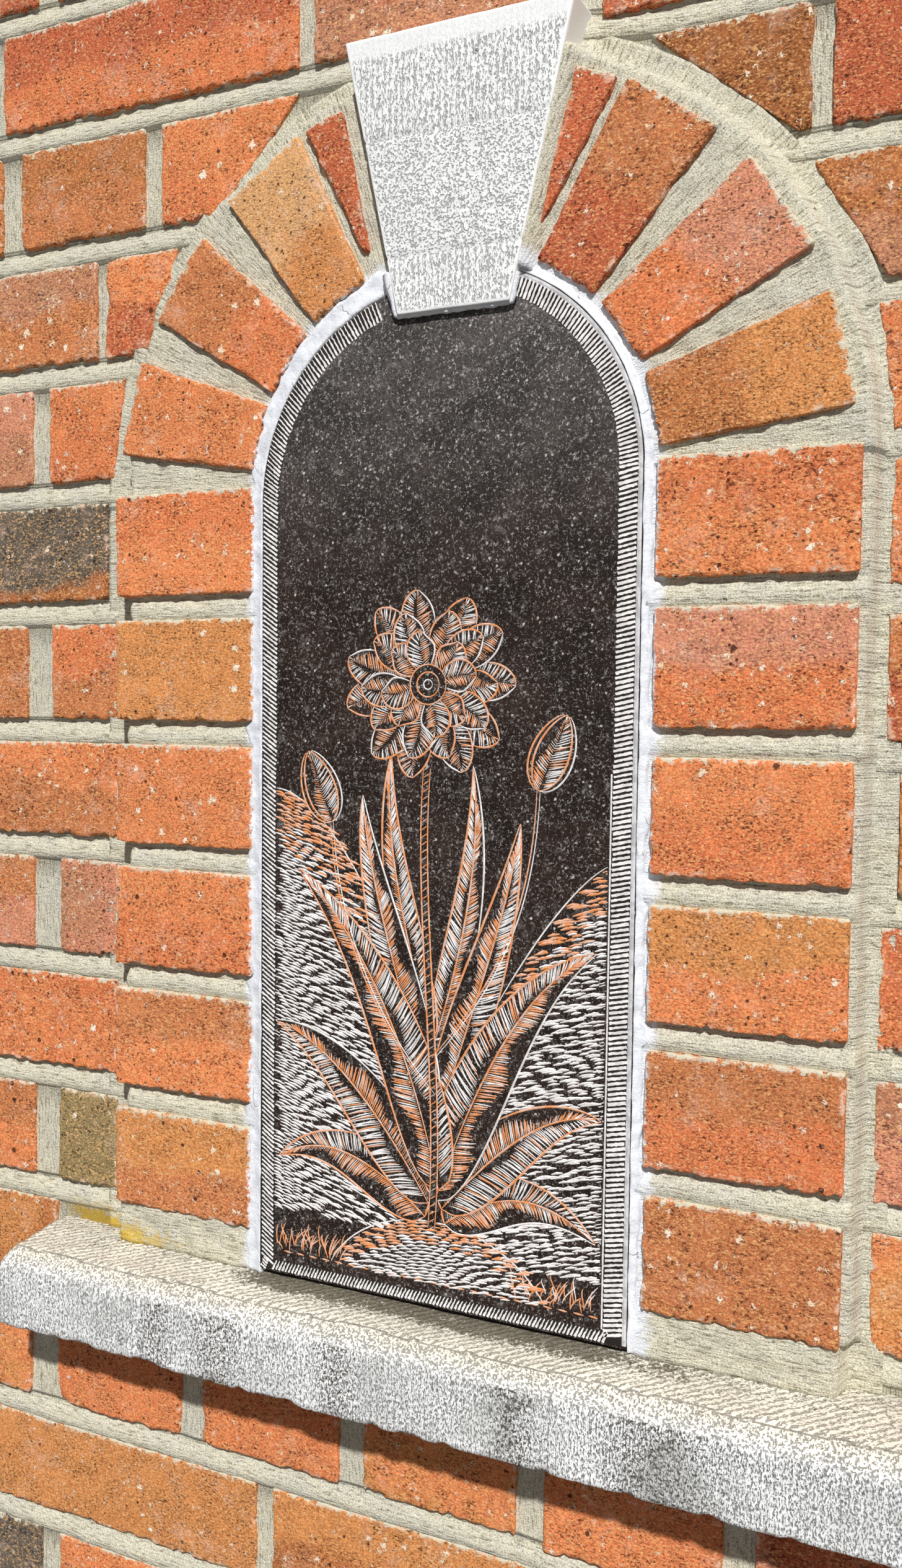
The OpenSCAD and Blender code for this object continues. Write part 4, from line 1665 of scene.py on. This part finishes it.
def engraveGrass(root, count, reach, kind):
    for k in range(count):
        x = root[0] + (drawing.random() - 0.5) * reach
        z = root[1] + drawing.random() * 5
        tip = (x + (drawing.random() - 0.4) * 13, z + 5 + 9 * drawing.random())
        draw(kind, bezier(((x, z), (x, z + 3), (tip[0] - 2, tip[1] - 2), tip), 8), 0.9, 2.0)


def engravePicture(settings):
    # What lies in front is drawn first
    flower = np.array(settings["flower"])
    engraveCore(flower, settings["core"])
    engraveFlower(settings, flower, settings["flowerRadius"])
    for place, way in settings["buds"]:
        engraveBud(settings, place, way)
    engraveStems(settings)
    for *ends, width, lit in settings["leaves"]:
        engraveLeaf(settings, bezier(ends, 48), width, lit)
    for tuft in settings["nearGrass"]:
        engraveGrass(*tuft)
    engraveHill(settings, *settings["nearHill"])
    cover(settings["mound"])
    for hill in settings["farHills"]:
        engraveHill(settings, *hill)
    for tuft in settings["farGrass"]:
        engraveGrass(*tuft)
    for x in np.arange(-96, 94, 8.6):
        draw("copper", [(x, 13.6), (x + 5.0, 13.2)], 1.3, 2.0, clip=False)
    for kind in ("white", "copper"):
        sizes, finish = (settings[kind] * mm, settings["rise"] * mm), cutFinishes[kind]
        mesh = sweepLines(kind, drawn[kind], *sizes, finish)
        name = "engraved" + kind.title()
        addPiece(name, mesh, finish, "light_stone", smooth=False)
        say(f"{name}: {len(drawn[kind])} lines, {len(mesh.polygons)} faces")


engravePicture(picture)

# The mortar squeezed out under the keystone, in millimetres from its middle and its foot
keystoneBead = {
    "path": ((-40, 24), (-35, -0.2), (34.2, -0.2), (36.5, 15)),
    "cell": 3.0,
    "unevenness": 0.25,
    "width": 3.2 * mm,
    "rise": 1.3 * mm,
    "proud": 2.4 * mm,
}


def beadKeystone(settings):
    foot = (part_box("keystone")[0].z - footZ) / mm
    middle = keyStone["middle"] / mm
    points = resampled([(middle + x, foot + z) for x, z in settings["path"]], settings["cell"])
    points = points + np.random.default_rng(3).normal(0, settings["unevenness"], points.shape)
    thick = 1 + 1.5 * ease(points[:, 1], foot + 4, foot + 20) * (points[:, 0] < middle)
    place = (0.0, faceY - settings["proud"], footZ)
    sizes = settings["width"], settings["rise"]
    mesh = sweepLines("keystoneBead", [(points, thick)], *sizes, whiteFinish, place)
    addPiece("keystoneBead", mesh, whiteFinish, "white_mortar")


beadKeystone(keystoneBead)
say("keystone bedded")


def carveKeystone(settings):
    low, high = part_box("keystone")
    middle, footHalf = settings["middle"], settings["footHalf"]
    headHalf = high.x - middle
    mesh = brickBlank("keyBlank", *settings["cells"])
    unit = np.zeros(len(mesh.vertices) * 3)
    mesh.vertices.foreach_get("co", unit)
    unit = unit.reshape(-1, 3)
    half = np.array([headHalf + footHalf, high.y - low.y, high.z - low.z]) / 2
    local = unit * 2 * half
    arris = settings["arris"] * (0.7 + 0.8 * ease(lumps(local, 14 * mm, 21), 0, 1))[:, None]
    inner = np.clip(local, -half + arris, half - arris)
    normal = unitRows(local - inner)
    length = np.linalg.norm(local - inner, axis=1, keepdims=True)
    local = inner + normal * np.minimum(length, arris)
    v = local[:, 2] / (2 * half[2]) + 0.5
    height = v * (high.z - low.z)
    rim = np.minimum(half[0] - np.abs(local[:, 0]), half[2] - np.abs(local[:, 2]))

    # Chisel lines at its head and foot, pecks between the two cut lines
    foot, head = (ease(height, at - 0.5 * mm, at + 0.5 * mm) for at in settings["pecked"])
    pecked = foot - head
    plain = ease(height, settings["smoothFoot"], settings["smoothFoot"] + 6 * mm)
    lines = np.sin(2 * math.pi * (middle + local[:, 0]) / paleStone["pitch"])
    lines = (lines + lumps(local * (1, 1, 0.2), 2.6 * mm, 22)) * settings["chiselDepth"]
    pecks = lumps(local, 2.6 * mm, 23) * settings["peckDepth"]
    relief = (1 - pecked) * lines + pecked * pecks
    relief = relief * ease(rim, 1.5 * mm, 4 * mm) * (1 - plain * 0.8)
    for line in settings["pecked"]:
        relief = relief - settings["lineDepth"] * hump(height, line, settings["lineWidth"])
    local = local + normal * (relief * (unit[:, 1] < -0.49))[:, None]
    x = middle + local[:, 0] / half[0] * (footHalf + (headHalf - footHalf) * v)
    centre = (low + high) / 2
    points = np.stack([x, local[:, 1] + centre.y, local[:, 2] + centre.z], 1)
    mesh.vertices.foreach_set("co", points.ravel())
    bare = ease(height, settings["smoothFoot"], settings["smoothFoot"] + 5 * mm)
    across, up, reach = settings["stain"]
    stain = hump(np.hypot(points[:, 0] - middle - across, height - up), 0, reach)
    store(mesh, "brushed", np.stack([points[:, 2], points[:, 0], points[:, 1] * 0.5], 1))
    store(mesh, "pecked", pecked)
    store(mesh, "dressed", ease(rim, 0.6 * mm, 2.4 * mm) * (1 - bare * 0.85))
    store(mesh, "grime", 0.1 + 0.1 * pecked)
    store(mesh, "moss", -0.7 + 1.4 * stain)
    mesh.update()
    addPiece("keystone", mesh, stoneFinish, "light_stone", "keystone")


carveKeystone(keyStone)
say("keystone carved")

sillStone = {
    "cell": 2.2 * mm,
    "endWear": 9 * mm,
    "frontHeight": 39 * mm,
    "slope": 9 * mm,
    "slopeRise": 10.5 * mm,
    "sag": 2.2 * mm,
    # Where along it, in millimetres, and how wide: bits knocked off below, and damp stains
    "knocks": ((-73, 5), (25, 4), (-105, 4), (168, 5)),
    "stains": ((-122, 15), (-163, 9), (-42, 9), (62, 12), (142, 24)),
}


def sillSection(settings, low, high, frontTop, slopeBack):
    # The outline of its section, y and z, each stretch with its own length of cell
    step, slopeTop = settings["cell"], frontTop + settings["slopeRise"]
    corners = [
        (high.y, low.z, 20 * mm), (wallY - 1 * mm, low.z, 7 * mm), (low.y + 3 * mm, low.z, step),
        (low.y, low.z + 2 * mm, 1.2 * mm), (low.y, frontTop - 2 * mm, step),
        (low.y + 1 * mm, frontTop + 1 * mm, 1.2 * mm), (slopeBack - 1 * mm, slopeTop - 2 * mm, step),
        (slopeBack + 2 * mm, slopeTop, 1.4 * mm), (faceY + 3 * mm, high.z, step),
        (wallY, high.z, 4 * mm), (high.y, high.z, 20 * mm), (high.y, low.z, 20 * mm),
    ]
    section = []
    for (y0, z0, _), (y1, z1, cell) in zip(corners, corners[1:]):
        count = max(1, round(math.hypot(y1 - y0, z1 - z0) / cell))
        for k in range(count):
            section.append((y0 + (y1 - y0) * k / count, z0 + (z1 - z0) * k / count))
    section = np.array(section)
    tangent = np.roll(section, -1, 0) - np.roll(section, 1, 0)
    return section, unitRows(np.stack([-tangent[:, 1], tangent[:, 0]], 1))


def withEnds(values):
    # The first and the last row again, for each of the two rings that close an end
    return np.concatenate([values[:1], values[:1], values, values[-1:], values[-1:]])


def carveSill(settings):
    low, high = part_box("sill")
    frontTop, slopeBack = low.z + settings["frontHeight"], low.y + settings["slope"]
    section, normal = sillSection(settings, low, high, frontTop, slopeBack)
    y, z = section[None, :, 0], section[None, :, 1]
    along = np.linspace(-1, 1, round((high.x - low.x) / settings["cell"]))[:, None]
    x = along * (high.x - settings["endWear"] * ease(z, frontTop, high.z))
    points = np.stack([x, y + 0 * x, z + 0 * x], -1)
    onFront = y < low.y + 0.5 * mm
    hang = ease(z, frontTop, low.z + 6 * mm) * ease(y, wallY, low.y + 4 * mm)
    sag = settings["sag"] * (0.25 + 0.75 * ease(along * high.x, -180 * mm, -90 * mm))
    points[..., 2] -= sag * hang

    # Chiselled in front, rough below, with nibbled edges and bits knocked off
    depth = 0.5 * mm * lumps(points, 30 * mm, 31) + 0.35 * mm * lumps(points, 5 * mm, 32)
    lines = lumps(points * (1, 1, 0.3), 2.6 * mm, 33) * 0.22 * mm
    depth = depth + np.where(onFront, lines, 0.4 * mm * lumps(points, 3.4 * mm, 34))
    lowEdge = hump(points[..., 2], low.z - sag, 3 * mm) * (points[..., 1] < low.y + 8 * mm)
    nibble = ease(lumps(points * (1, 0, 0), 9 * mm, 35), 0.1, 0.9)
    depth = depth - lowEdge * 1.8 * mm * nibble
    for place, size in settings["knocks"]:
        points[..., 2] += lowEdge * hump(points[..., 0], place * mm, size * mm) * 3 * mm
    arris = hump(points[..., 2], frontTop, 4 * mm) * (points[..., 1] < slopeBack)
    depth = depth - arris * 1.2 * mm * (0.5 + 0.5 * lumps(points, 12 * mm, 36))
    points[..., 1:] += normal[None] * depth[..., None]

    x, y, z = np.moveaxis(points, -1, 0)
    top = (z > high.z - 5 * mm) | (y > slopeBack)
    slanted = np.stack([x * 0.8 + y * 0.6, y * 0.8 - x * 0.6, 0.3 * y], -1)
    brushed = np.where(top[..., None], slanted, np.stack([z, x, 0.3 * y], -1))
    shaded = ease(y, slopeBack + 4 * mm, faceY - 4 * mm) * top
    beneath = 1 - ease(np.abs(x + 5 * mm), 90 * mm, 135 * mm)
    moss = shaded * np.clip(0.42 + 0.9 * beneath + 0.4 * hump(x, 134 * mm, 16 * mm), 0, 1.2) - 0.2
    stain = sum(hump(x, place * mm, size * mm) for place, size in settings["stains"]) * onFront
    extras = {
        "brushed": brushed,
        "pecked": np.where(onFront | top, 0.0, 1.0),
        "grime": 0.4 + 0.3 * onFront + 0.9 * stain,
        "moss": moss + 0.5 * stain,
        "dressed": 1 + 0 * moss,
    }
    whole = withEnds(points)
    for ring, share in ((0, 0.33), (1, 0.66), (-2, 0.66), (-1, 0.33)):
        middle = whole[ring, :, 1:].mean(0)
        whole[ring, :, 1:] = middle + (whole[ring, :, 1:] - middle) * share
    mesh = shellMesh("sill", whole, {name: withEnds(values) for name, values in extras.items()})
    addPiece("sill", mesh, stoneFinish, "light_stone", "sill")


carveSill(sillStone)
say("sill carved")

for name, material in (("panel_bed", mortarFinish), ("panel_backing", clayFinish)):
    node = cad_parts[name]
    node.data.materials.clear()
    node.data.materials.append(material)

for blank in blanks.values():
    bpy.data.objects.remove(blank)
for spare in [m for m in bpy.data.meshes if m.users == 0]:
    bpy.data.meshes.remove(spare)

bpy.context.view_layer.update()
say("sizes written")
